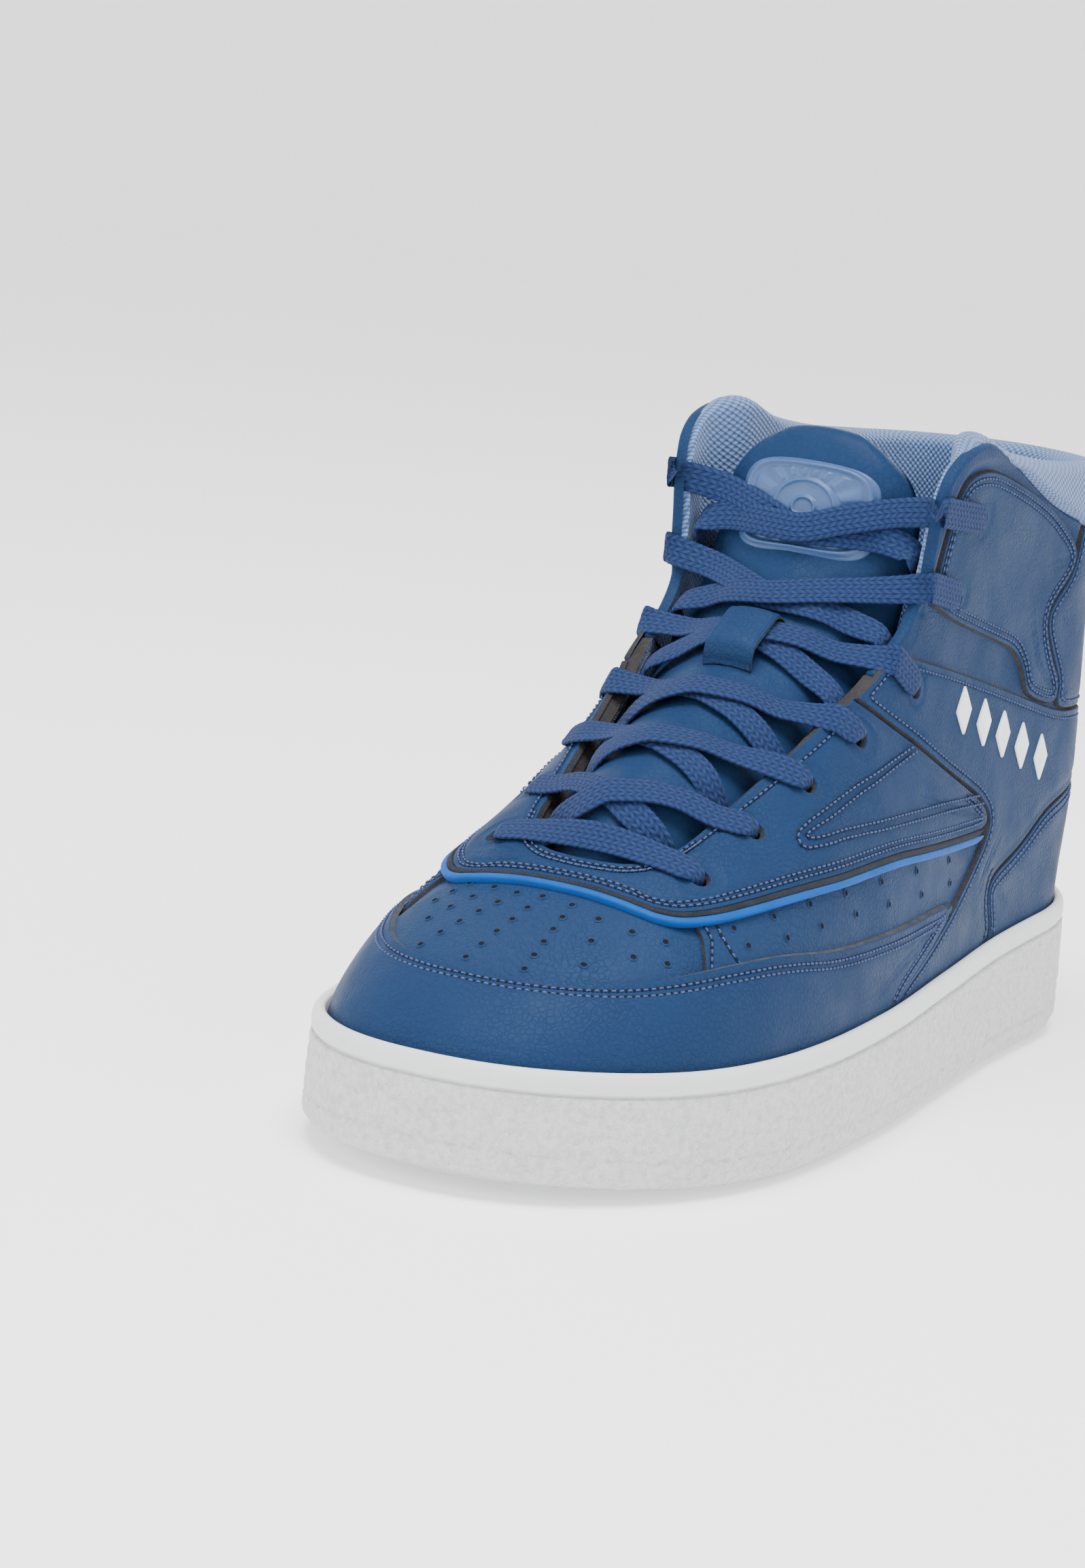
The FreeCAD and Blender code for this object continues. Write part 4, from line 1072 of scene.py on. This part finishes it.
def build_perforations():
    """Small punched holes: a soft raised lip round a dimple whose middle is painted near-black as the hole's shade.
    """
    points, faces, kinds = [], [], []
    for start in perforation_spots():
        p, n = on_upper(start)
        seed = 11 if p[0] > 246 else 12
        p = p - n * (BASE_DEPTH - 0.1 - float(unevenness(p, seed)))
        a = unit(np.cross(n, [0, 0, 1.0]))
        b = np.cross(n, a)
        faces += grid_faces(len(PUNCH_RINGS), PUNCH_SIDES, len(points), closed=True)
        # the inner rings and the middle take the near-black material: painted shade for the hole
        kinds += [0] * 2 * PUNCH_SIDES + [1] * (len(PUNCH_RINGS) - 3) * PUNCH_SIDES
        for radius, height in PUNCH_RINGS:
            points += [p + (a * c + b * q) * radius + n * height for c, q in ring_of(PUNCH_SIDES)]
        last = len(points) - PUNCH_SIDES
        points.append(p + n * 0.1)
        faces += [(last + k, last + (k + 1) % PUNCH_SIDES, len(points) - 1) for k in range(PUNCH_SIDES)]
        kinds += [1] * PUNCH_SIDES
    place(make_mesh("perforations", np.array(points), faces, [VAMP_LEATHER, HOLE_SHADE], kinds), "shoe", "blue_leather")


def lining_depth(p):
    """How deep the lining lies: deeper behind the collar's padding."""
    return LINING_START + COLLAR_PADDING * ease((p[..., 2] - 84) / 18) * ease((134 - p[..., 0]) / 16)


BEHIND_LEATHER = 2.9       # the lining's depth against the leather's back
ROLL_HEIGHT = 3.4
REAR_PUFF = 0.9


def build_collar():
    """The padded mesh lining: up the inside, rolled over the collar's edge and down behind the leather."""
    p, n, up = inside.p, inside.n, unit(inside.pv)
    puff = 1.6 * ease((p[..., 2] - 92) / 16) * (0.6 + 0.4 * np.sin(p[..., 0] / 17.0 + 1.0))
    puff = puff * ease((136 - p[..., 0]) / 12)
    lump = 0.35 * smooth_noise(p, 24.0, 5) * ease((p[..., 2] - 80) / 20)
    depth_in = lining_depth(p) - 0.1 + puff + lump
    inner = p - n * depth_in[..., None]
    edge_n, edge_up, edge_p = n[:, -1], up[:, -1], p[:, -1]
    drop = 1.0 - 2.4 * ease((edge_p[:, 0] - 100) / 20) * ease((edge_p[:, 2] - 118) / 10)
    inner = inner - up * (drop[:, None] * ease(1 - inside.from_top / 6))[..., None]
    rows = [inner[:, j] for j in range(inner.shape[1] - 1)]

    # the roll over the edge
    deep = depth_in[:, -1]
    rear = ease((116 - edge_p[:, 0]) / 10)
    shallow = BEHIND_LEATHER - 1.7 * ease((edge_p[:, 2] - 122) / 5) * (1 - rear) - 3.3 * rear
    radius = (deep - shallow) / 2
    middle = edge_p - edge_n * ((deep + shallow) / 2)[:, None] - edge_up * drop[:, None]
    rise = np.minimum(radius, ROLL_HEIGHT)
    for angle in np.linspace(0, math.pi, 12):
        out, lift = radius * math.cos(angle), rise * math.sin(angle)
        rows.append(middle - edge_n * out[:, None] + edge_up * lift[:, None])

    # down behind the leather, or on to the puffy roll that shows above it at the rear
    line = leather_top(np.clip(edge_p[:, 0], -5, 145))
    reach = np.clip(edge_p[:, 2] - line, 0, 40) + 5.0
    for t in np.linspace(0.06, 1, 16):
        down, m = on_upper(edge_p - edge_up * (drop + reach * t)[:, None], 3)
        tucked = ease((line + 1.2 - down[:, 2]) / 2.4)
        crown = REAR_PUFF * np.sin(np.clip(t * 0.9, 0, 1) * math.pi) * rear
        rows.append(down - m * (shallow + (BEHIND_LEATHER - shallow) * tucked - crown)[:, None])
    points = np.stack(rows, 1)
    across, count = points.shape[:2]
    steps = np.linalg.norm(np.diff(points, axis=1), axis=-1)
    along = np.concatenate([np.zeros((across, 1)), np.cumsum(steps, axis=1)], axis=1)
    uv = np.stack([np.repeat(inside.round_mm[:, :1], count, 1), along], -1)
    obj = make_mesh("collar_padding", points.reshape(-1, 3), flipped(grid_faces(across, count)), [MESH],
                    uv=uv.reshape(-1, 2))
    place(obj, "shoe", "mesh_lining", "collar_lining", "collar_foam", "collar_roll")


def build_front_lining():
    """The thin lining under the vamp and side panels, as a closed sheet."""
    outline = [(120, 20), (120, 86), (150, 99), (176, 111), (185, 130), (310, 100), (318, 50), (310, 20)]
    d, _ = pattern(forefoot, outline, top_gap=0.4)
    cut = Cut(forefoot, d)
    size = len(cut.p)
    points = np.concatenate([cut.p - cut.n * depth for depth in (LINING_START, LINING_START + LINING_THICK)])
    faces = cut.faces + [[v + size for v in face[::-1]] for face in cut.faces]
    faces += [[b, a, a + size, b + size] for a, b in cut.rim_edges]
    obj = make_mesh("forefoot_lining", points, faces, [SHADED_MESH], uv=np.concatenate([cut.uv, cut.uv]))
    place(obj, "shoe", "mesh_lining", "vamp_lining")


TONGUE_HALF = 26.0         # half the width below the top
TONGUE_ROUND = 22          # length of the rounded top
TONGUE_PAD = 4.5
TONGUE_PUFF = 3.6          # extra padding above the hinge
TONGUE_ROLL = 4.2          # width of the rounded border


def build_tongue():
    """A padded tongue as one closed pillow: leather in front and round the edges, mesh behind."""
    rows, columns = 230, 84
    s, t = np.meshgrid(np.linspace(0, TONGUE_END, rows), np.linspace(-1, 1, columns), indexing="ij")
    corner = np.clip((s - (TONGUE_END - TONGUE_ROUND)) / TONGUE_ROUND, 0, 1)
    width = TONGUE_HALF + (tongue_width(s) - TONGUE_HALF) * ease((TONGUE_END - 12 - s) / 12)
    width = width * np.clip(1 - corner ** 2.1, 0.03, 1) ** 0.48
    y = width * t
    pad = TONGUE_PAD + TONGUE_PUFF * ease((s - HINGE) / 18)
    border = np.minimum(width - np.abs(y), TONGUE_END - s)
    bulge = np.sqrt(np.clip(1 - (1 - np.clip(border / TONGUE_ROLL, 0, 1)) ** 2, 0, 1))
    base = tongue_point(s, y)
    normal = tongue_normal(s)
    lumps = 0.22 * smooth_noise(base, 19.0, 8) + 0.1 * smooth_noise(base, 8.0, 9)
    seam = -0.22 * np.exp(-((border - 3.4) / 0.9) ** 2)
    height = -pad / 2 + bulge * (pad / 2 + tongue_crown(s, t) - 0.3) + (lumps + seam) * bulge
    front = base + normal * height[..., None]
    back = base + normal * (-pad / 2 - bulge * pad / 2)[..., None]
    back_kinds = [1 if b > 2.6 else 0 for b in border[:-1, :-1].ravel()]
    obj = pillow("tongue_padding", front, back, [TONGUE_LEATHER, MESH], back_kinds, 0,
                 np.stack([y, s], -1).reshape(-1, 2))
    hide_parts(*["tongue_" + part + layer for part in ("lower_", "upper_")
                       for layer in ("leather", "foam", "lining")])
    hinge = tongue_point(HINGE, 0.0)
    ahead = tongue_normal(HINGE)
    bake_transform(obj)


EMBLEM_HALF = 19.0
EMBLEM_CIRCLES = ((8.2, 0.6), (3.0, 0.5))    # radius and width
EMBLEM_RAYS = 18


def build_emblem():
    """A plain ribbed medallion pressed into the tongue: a rounded frame, a ring and fine rays."""
    low, high = tongue_nearest(146, 132), tongue_nearest(137.8, 154)
    rows, columns = 110, 180
    s, y = np.meshgrid(np.linspace(low, high, rows), np.linspace(-EMBLEM_HALF, EMBLEM_HALF, columns), indexing="ij")
    up = s - (low + high) / 2
    radius = (np.abs(y / EMBLEM_HALF) ** 4 + np.abs(up / ((high - low) / 2)) ** 4) ** 0.25
    ring = np.hypot(y, up * 1.25)
    border = np.exp(-((radius - 0.88) / 0.05) ** 2)
    circles = sum(np.exp(-((ring - at) / wide) ** 2) for at, wide in EMBLEM_CIRCLES)
    rays = 0.5 * (1 + np.cos(np.arctan2(up, y) * EMBLEM_RAYS))
    rays = rays * ease((ring - 9.2) / 1.0) * ease((0.80 - radius) / 0.05)
    height = 0.9 * border + 0.75 * circles + 0.45 * rays + 0.45
    height = height * ease((1.0 - radius) / 0.1) - 0.5 * ease((radius - 0.97) / 0.03)
    points = tongue_point(s, y, tongue_crown(s, y / tongue_width(s)) - 0.25 + height)
    kept = (radius[:-1, :-1] < 1.02).ravel()
    faces = [face for face, keep in zip(flipped(grid_faces(rows, columns)), kept) if keep]
    used = sorted(set(v for face in faces for v in face))
    index = {v: k for k, v in enumerate(used)}
    faces = [[index[v] for v in face] for face in faces]
    obj = make_mesh("tongue_medallion", points.reshape(-1, 3)[used], faces, [EMBLEM])
    place(obj, "tongue_top", "emblem", "tongue_emblem")


# ---- the lace ----
LACE_WIDTH = 7.5
LACE_THICK = 1.3
LACE_IN_HOLE = 3.0
LACE_SIDES = 28
OVER = 0.95            # the lace's middle above the leather
UNDER = 1.0            # and below the lining
ON_TONGUE = 2.1        # and above the tongue
CROSSING = 1.75        # how much higher the upper strand is where two cross
EDGE_HEIGHT = 8.5      # above the tongue, where the lace climbs to the throat's edge
LEVEL_OUT = [0, 0, 0, 0, 0.1, 0.3, 0.42]    # how much each row of lace is lifted towards level at its hole


def crossing_station(row):
    """Where on the tongue's middle line the strands above a row of holes cross."""
    (x0, _, z0), (x1, _, z1) = EYELETS[row], EYELETS[row + 1]
    forward, upward = (7, 12) if row < 4 else (14, 0)
    return tongue_nearest((x0 + x1) / 2 + forward, (z0 + z1) / 2 + upward)


def tangent(p, n, target):
    d = target - p
    return unit(d - n * d.dot(n))


def edge_steps(row):
    return max(2, round(EDGE_REACH[row] / 5))


def outside_run(row, side, target):
    """From the throat's edge to a hole, on the leather, as (point, normal, width)."""
    p, n = eyelet(row, side)
    back = unit(tangent(p, n, target) + np.array([0, 0, LEVEL_OUT[row]]))
    steps = edge_steps(row)
    samples = []
    for i in range(steps):
        q, m = on_upper(p + back * (EDGE_REACH[row] * (steps - i) / steps))
        bump = np.clip(collar_rim(q) - BASE_DEPTH, 0, 3)
        samples.append((q + m * (OVER + bump), m, LACE_WIDTH))
    samples.append((p + n * OVER + back * 1.6, n, LACE_WIDTH * 0.75))
    return samples


def through_hole(row, side, target):
    p, n = eyelet(row, side)
    away = -tangent(p, n, target)
    deep = lining_depth(p) + LINING_THICK
    return [(p - n * 1.0, away, LACE_IN_HOLE), (p - n * (deep - 0.7), away, LACE_IN_HOLE)]


def inside_run(row, side, target):
    """From a hole to the throat's edge, under the lining."""
    p, n = eyelet(row, side)
    out = tangent(p, n, target)
    steps = edge_steps(row)
    samples = []
    for i in range(steps + 1):
        q, m = on_upper(p + out * max(EDGE_REACH[row] * i / steps, 1.6))
        deep = lining_depth(q) + LINING_THICK + UNDER
        samples.append((q - m * deep, m, LACE_WIDTH * (0.75 if i == 0 else 0.9)))
    return samples


def strand(row, side):
    """From under one hole, across the tongue, to the next row's hole on the other side."""
    s = crossing_station(row)
    rise = CROSSING if side < 0 else 0.0
    middle = tongue_point(s, 0.0, ON_TONGUE + rise)
    under = inside_run(row, side, middle)
    over = outside_run(row + 1, -side, middle)

    def on_tongue(edge, t, climb=0.0):
        station = s + (tongue_nearest(edge[0], edge[2] + 4) - s) * t
        point = tongue_point(station, edge[1] * t, ON_TONGUE + rise * (1 - t) + climb)
        return point, tongue_normal(station), LACE_WIDTH

    leaving = [on_tongue(under[-1][0], t) for t in (0.66, 0.33)]
    climbs = [(t, (EDGE_HEIGHT - ON_TONGUE) * max((t - 0.4) / 0.6, 0) ** 1.6) for t in (0.3, 0.62)]
    arriving = [on_tongue(over[0][0], t, climb) for t, climb in climbs]
    return under + leaving + [(middle, tongue_normal(s), LACE_WIDTH)] + arriving + over


def chain(side):
    """Half of the lace, from the first hole on one side up to the last row."""
    samples, sign = [], 1
    for row in range(len(EYELETS)):
        middle = tongue_point(crossing_station(min(row, len(EYELETS) - 2)), 0.0)
        samples += [(p, f * sign, w) for p, f, w in through_hole(row, side, middle)]
        if row < len(EYELETS) - 1:
            samples += [(p, -f * sign, w) for p, f, w in strand(row, side)]
        side, sign = -side, -sign
    return samples


def build_lace():
    """One flat woven lace along the CAD route, with soft edges and a raised weave."""
    s = tongue_nearest(240, 74)
    middle = tongue_point(s, 0.0, ON_TONGUE)
    left = outside_run(0, 1, middle) + chain(1)
    right = outside_run(0, -1, middle) + chain(-1)
    samples = right[::-1] + [(middle, tongue_normal(s), LACE_WIDTH)] + left
    centres, normals, widths = [np.array(column) for column in zip(*samples)]
    along = distances(centres)
    step = 0.5
    spots = np.arange(0, along[-1], step)
    track = smooth_track(spots, along, centres)
    face = straight_track(spots, along, normals)
    width = np.interp(spots, along, widths)

    def blur(values, reach):
        kernel = np.hanning(int(reach / step) * 2 + 3)[1:-1]
        kernel /= kernel.sum()
        half_size = len(kernel) // 2
        padded = np.concatenate([values[:1].repeat(half_size, 0), values, values[-1:].repeat(half_size, 0)])
        return np.stack([np.convolve(padded[:, c], kernel, "valid") for c in range(values.shape[1])], -1)

    track = blur(track, 2.0)
    face = blur(face, 2.5)
    width = blur(width[:, None], 2.0)[:, 0]
    forward = unit(np.gradient(track, axis=0))
    across = unit(np.cross(face, forward))
    face = unit(np.cross(forward, across))
    curl = 0.10 * np.sin(spots / 13.0) + 0.06 * np.sin(spots / 5.3 + 1.0)
    angles = np.linspace(0, 2 * math.pi, LACE_SIDES, endpoint=False)
    side = np.sign(np.cos(angles)) * np.abs(np.cos(angles)) ** 0.62
    rise = np.sign(np.sin(angles)) * np.abs(np.sin(angles)) ** 0.8
    v = side * width[:, None] / 2
    fold = 1.25 - np.abs((v + 1.25) % 2.5 - 1.25)
    weave = 0.075 * np.sin((spots[:, None] - fold) * 2 * math.pi / 1.9) * np.abs(rise)
    scallop = 0.09 * np.sin(spots * 2 * math.pi / 1.35)[:, None] * np.abs(side) ** 6
    height = rise * LACE_THICK / 2 * (1 + 0.25 * np.abs(side) ** 4) + weave * np.sign(rise)
    height = height + curl[:, None] * (side ** 2 - 0.4)
    sideways = v + scallop * np.sign(side)
    points = track[:, None] + across[:, None] * sideways[..., None] + face[:, None] * height[..., None]
    faces = flipped(grid_faces(len(spots), LACE_SIDES, closed=True))
    size = len(spots) * LACE_SIDES
    faces += [list(range(LACE_SIDES)), list(range(size - LACE_SIDES, size))[::-1]]
    uv = np.stack([np.repeat(spots[:, None], LACE_SIDES, 1), v], -1).reshape(-1, 2)
    place(make_mesh("flat_lace", points.reshape(-1, 3), faces, [LACE], uv=uv), "shoe", "lace_cloth", "lace")
    print("lace length, mm:", round(float(along[-1])))


KEEPER_HALF_LENGTH = 10
KEEPER_HALF_WIDTH = 6.5


def build_keeper():
    """The small strap on the tongue that holds the lace down."""
    middle = crossing_station(3) - 2
    clearance = ON_TONGUE + CROSSING + LACE_THICK + 0.3
    rows, columns = 61, 31
    t, w = np.meshgrid(np.linspace(-1, 1, rows), np.linspace(-1, 1, columns), indexing="ij")
    lift = 0.1 + clearance * (1 - t ** 6) - 0.35 * np.abs(w) ** 3 * (1 - t ** 2)
    edge = np.minimum(1 - np.abs(w), (1 - np.abs(t)) * 1.6) * KEEPER_HALF_WIDTH
    seam = 0.18 * np.exp(-((edge - 1.7) / 0.5) ** 2)
    soft = np.sqrt(np.clip(1 - (1 - np.clip(edge / 0.7, 0, 1)) ** 2, 0, 1))
    s, y = middle + KEEPER_HALF_LENGTH * t, KEEPER_HALF_WIDTH * w
    top, low = tongue_point(s, y, lift + 0.55 + 0.65 * soft - seam), tongue_point(s, y, lift)
    strap = pillow("keeper_strap", top, low, [LEATHER, PALE_EDGE], [1] * ((rows - 1) * (columns - 1)), 1)
    place(strap, "shoe", "blue_leather", "lace_keeper")


DIAMONDS = [(116, 96), (102, 91.5), (88, 87), (74, 82.5), (60, 78)]
DIAMOND_HALF = (4.5, 6.0)
DIAMOND_SIDES = 32
# Sections of a diamond, as (share of its size, height above the leather).
DIAMOND_RINGS = [(1.0, 0.05), (1.0, 0.6), (0.9, 0.83), (0.6, 0.87), (0.5, 0.65), (0.0, 0.65)]


def build_side_mark():
    """A plain row of raised white diamonds on the outer quarter."""
    points, faces = [], []
    for x, z in DIAMONDS:
        p, n = on_upper(np.array([x, 38.0, z]))
        right = unit(np.array([1.0, 0, 0]) - n * n[0])
        up = np.cross(n, right)
        up = up * np.sign(up[2])
        faces += grid_faces(len(DIAMOND_RINGS), DIAMOND_SIDES, len(points), closed=True)
        for size, height in DIAMOND_RINGS:
            for c, q in ring_of(DIAMOND_SIDES):
                scale = size / (abs(c) + abs(q)) ** 0.94
                spot, m = on_upper(p + right * (DIAMOND_HALF[0] * c * scale) + up * (DIAMOND_HALF[1] * q * scale), 3)
                points.append(spot + m * height)
    place(make_mesh("side_diamonds", np.array(points), faces, [WHITE]), "shoe", "white_print", "side_mark")


# ---- the sole ----
def perimeter(count):
    """Evenly spread points round the sole, in plan: heel, outer side, toe, inner side."""
    t = np.linspace(0, math.pi / 2, 90)
    power = 2 / ROUND_POWER
    heel = [(HEEL_ROUND - HEEL_ROUND * math.cos(a) ** power, math.sin(a) ** power) for a in t]
    toe = [(TOE_ROUND + (LENGTH - TOE_ROUND) * math.sin(a) ** power, max(math.cos(a), 0) ** power) for a in t]
    middle = [(x, 1.0) for x in np.linspace(HEEL_ROUND, TOE_ROUND, 180)[1:-1]]
    half_loop = np.array(heel + middle + toe)
    xs = np.r_[half_loop[:, 0], half_loop[-2:0:-1, 0]]
    share = np.r_[half_loop[:, 1], -half_loop[-2:0:-1, 1]]
    loop = np.stack([xs, centre(xs) + half(xs) * share], -1)
    loop = np.concatenate([loop, loop[:1]])
    along = distances(loop)
    return straight_track(np.linspace(0, along[-1], count, endpoint=False), along, loop)


WALL_INSET = profile([(0, 6.0), (1.6, 1.8), (3.5, 0.6), (7, 0.0), (18, 0.2), (42, 1.2)])
WALL_FOOT = 3.4
LIP_HEIGHT = 5.4
# The lip's section, as (inward, up from the sole's top edge), over the edge and down inside.
LIP_SECTION = [(0.65, -LIP_HEIGHT - 0.15), (0.75, -LIP_HEIGHT + 0.1), (0.15, -LIP_HEIGHT + 0.45),
               (-0.25, -LIP_HEIGHT + 1.1), (-0.35, -3.2), (-0.28, -1.9), (-0.02, -0.9), (0.4, -0.35), (0.95, -0.06),
               (1.6, 0.0), (2.4, -0.05), (2.9, -0.25), (3.15, -0.7), (3.25, -4.5)]
TREAD_ROWS = 26


def build_sole():
    """The rubber cup: a pebbled wall under a smooth lip, and zigzag grooves in its underside."""
    count = 1100
    ring = perimeter(count)
    for _ in range(3):
        ring = (np.roll(ring, 1, 0) + 2 * ring + np.roll(ring, -1, 0)) / 4
    ahead = unit(np.roll(ring, -1, 0) - np.roll(ring, 1, 0))
    inward = np.stack([ahead[:, 1], -ahead[:, 0]], -1)
    if (inward[0] @ (np.array([150.0, 0]) - ring[0])) < 0:
        inward = -inward
    top, low = sole_top(ring[:, 0]), ground(ring[:, 0])
    rows = [(WALL_INSET(h) * np.ones(count), low + h) for h in (0, 0.35, 0.9, 1.6, 2.5)]
    foot_rows = len(rows)
    for t in np.linspace(0, 1, 40)[1:]:
        z = low + WALL_FOOT + (top - LIP_HEIGHT - 0.5 - low - WALL_FOOT) * t
        rows.append((WALL_INSET(z), z))
    wall_rows = len(rows)
    for out, rise in LIP_SECTION:
        rows.append((WALL_INSET(top) + out if out < 1.4 else np.full(count, out + 0.2), top + rise))
    grid = np.zeros((len(rows), count, 3))
    for k, (inset, z) in enumerate(rows):
        grid[k, :, :2] = ring + inward * inset[:, None]
        grid[k, :, 2] = z
    band = grid[foot_rows:wall_rows]
    rough = 0.20 * smooth_noise(band, 2.9, 21) + 0.14 * smooth_noise(band, 1.9, 22)
    line = -0.35 * np.exp(-((band[..., 2] - low - 8.0) / 0.5) ** 2)
    band[..., :2] -= inward[None] * (rough + line)[..., None]

    # the underside, row by row in to the middle line
    edge = grid[0]
    middle = np.stack([edge[:, 0] * 0.86 + 0.14 * 152, centre(edge[:, 0]), edge[:, 2]], -1)
    points = [grid.reshape(-1, 3)]
    for t in np.arange(1, TREAD_ROWS + 1) / TREAD_ROWS:
        q = edge * (1 - t) + middle * t
        zigzag = np.abs(((q[:, 0] + 3.2 * np.abs(((q[:, 1] / 7.0) % 2) - 1)) / 5.6) % 1 - 0.5)
        q[:, 2] = ground(q[:, 0]) + 1.5 * ease((0.2 - zigzag) / 0.08) * ease(t * 3 - 0.3)
        points.append(q)
    size = len(rows) * count
    faces = flipped(grid_faces(len(rows), count, closed=True))
    faces += [[i, (i + 1) % count, size + (i + 1) % count, size + i] for i in range(count)]
    faces += grid_faces(TREAD_ROWS, count, size, closed=True)
    materials = [0] * (wall_rows * count)
    materials += [1] * (len(faces) - len(materials))
    cup = make_mesh("cup_sole", np.concatenate(points), faces, [RUBBER, LIP], materials)
    place(cup, "shoe", "sole_rubber", "cupsole")


SOCKLINER_TOP = 4.9        # above the upper's lower edge
SOCKLINER_THICK = 5.2


def build_sockliner():
    """The removable foot bed: a cloth-topped foam pad."""
    rows, columns = 150, 56
    x, t = np.meshgrid(np.linspace(12, 291, rows), np.linspace(-1, 1, columns), indexing="ij")
    inset = UPPER_INSET + LINING_START + LINING_THICK + 3.6
    toe = np.clip((x - TOE_ROUND) / (LENGTH - inset - TOE_ROUND), 0, 1)
    heel = np.clip((HEEL_ROUND - x) / (HEEL_ROUND - inset), 0, 1)
    share = np.clip(1 - toe ** ROUND_POWER - heel ** ROUND_POWER, 0.0, 1) ** (1 / ROUND_POWER)
    y = centre(x) + (half(x) - inset) * t * share
    top = sole_top(x) - UPPER_TUCK + SOCKLINER_TOP
    quilt = 0.12 * np.sin(x / 2.2) * np.sin(y / 2.2)
    upper = np.stack([x, y, top - 0.1 + quilt * (1 - np.abs(t))], -1)
    lower = np.stack([x, y, top - SOCKLINER_THICK], -1)
    obj = pillow("foot_bed", upper, lower, [SOCK, FOAM], [1] * ((rows - 1) * (columns - 1)), 1,
                 np.stack([x, y], -1).reshape(-1, 2))
    place(obj, "sockliner", "sockliner_cloth", "sockliner_foam", "sockliner_cover")


HIDDEN_MATERIALS = {"midsole_foam": FOAM, "lasting_board": BOARD, "toe_puff": STIFF, "heel_counter": STIFF}


def dress_hidden_nodes():
    """The CAD pieces inside the shoe keep their shape and get their own materials."""
    for name, material in HIDDEN_MATERIALS.items():
        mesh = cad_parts[name].data
        mesh.materials.clear()
        mesh.materials.append(material)


# ---- stage, light and camera ----
BOWL_START, BOWL_RADIUS, BOWL_TOP = 2.4, 1.2, 3.4


def stand(obj, axes, at):
    """Puts an object at a point, with its own axes along the given ones."""
    obj.matrix_world = Matrix([[*(axis[k] for axis in axes), at[k]] for k in range(3)] + [[0, 0, 0, 1]])


def build_stage():
    """A pale floor that turns up into walls far from the shoe, and an even white world."""
    around = 96
    radii = [(0.0, 0.0), (0.8, 0.0), (BOWL_START, 0.0)]
    radii += [(BOWL_START + BOWL_RADIUS * math.sin(a), BOWL_RADIUS - BOWL_RADIUS * math.cos(a))
              for a in np.linspace(0, math.pi / 2, 16)[1:]]
    radii.append((BOWL_START + BOWL_RADIUS, BOWL_TOP))
    points = [(r * c, r * q, z) for r, z in radii for c, q in ring_of(around)]
    mesh = bpy.data.meshes.new("floor")
    mesh.from_pydata(points, [], grid_faces(len(radii), around, closed=True))
    mesh.polygons.foreach_set("use_smooth", np.ones(len(mesh.polygons), dtype=bool))
    pale = Nodes("pale_floor", (0.92, 0.92, 0.92), 0.95, Specular_IOR_Level=0.0, Emission_Color=(1, 1, 1, 1),
                 Emission_Strength=0.55)
    mesh.materials.append(pale.material)
    add_object("floor", mesh)
    world = bpy.data.worlds.new("studio")
    world.use_nodes = True
    world.node_tree.nodes["Background"].inputs["Color"].default_value = (1, 1, 1, 1)
    world.node_tree.nodes["Background"].inputs["Strength"].default_value = 0.3
    bpy.context.scene.world = world


def area_light(name, at, aim, size, power):
    light = bpy.data.lights.new(name, "AREA")
    light.shape = "RECTANGLE"
    light.size, light.size_y = size
    light.energy = power
    back = unit(np.array(at, float) - np.array(aim, float))
    right = unit(np.cross([0, 0, 1.0], back))
    stand(add_object(name, light), (right, np.cross(back, right), back), at)


CAMERA_AT = np.array([1.1197, 0.5152, 0.2933])
CAMERA_AIM = np.array([0.1580, 0.0235, 0.0972])
CAMERA_ROLL = math.radians(5.664)
CAMERA_LENS = 116.97


def build_camera():
    ahead = unit(CAMERA_AIM - CAMERA_AT)
    right = unit(np.cross(ahead, [0, 0, 1.0]))
    up = np.cross(right, ahead)
    x_axis = right * math.cos(CAMERA_ROLL) + up * math.sin(CAMERA_ROLL)
    y_axis = -right * math.sin(CAMERA_ROLL) + up * math.cos(CAMERA_ROLL)
    data = bpy.data.cameras.new("camera")
    data.sensor_width = 36.0
    data.lens = CAMERA_LENS
    camera = add_object("camera", data)
    stand(camera, (x_axis, y_axis, -ahead), CAMERA_AT)
    bpy.context.scene.camera = camera


sew(build_upper() + decoration_rows())
build_perforations()
build_collar()
build_front_lining()
build_tongue()
build_emblem()
build_lace()
build_keeper()
build_side_mark()
build_sole()
build_sockliner()
dress_hidden_nodes()
build_stage()
area_light("top", (0.35, 0.1, 1.7), (0.05, 0, 0.08), (1.2, 1.0), 64)
area_light("front", (1.5, -0.7, 0.9), (0, 0, 0.08), (1.0, 0.8), 8)
area_light("rim", (-0.6, 1.5, 0.9), (0, 0, 0.10), (0.8, 0.9), 6)
build_camera()
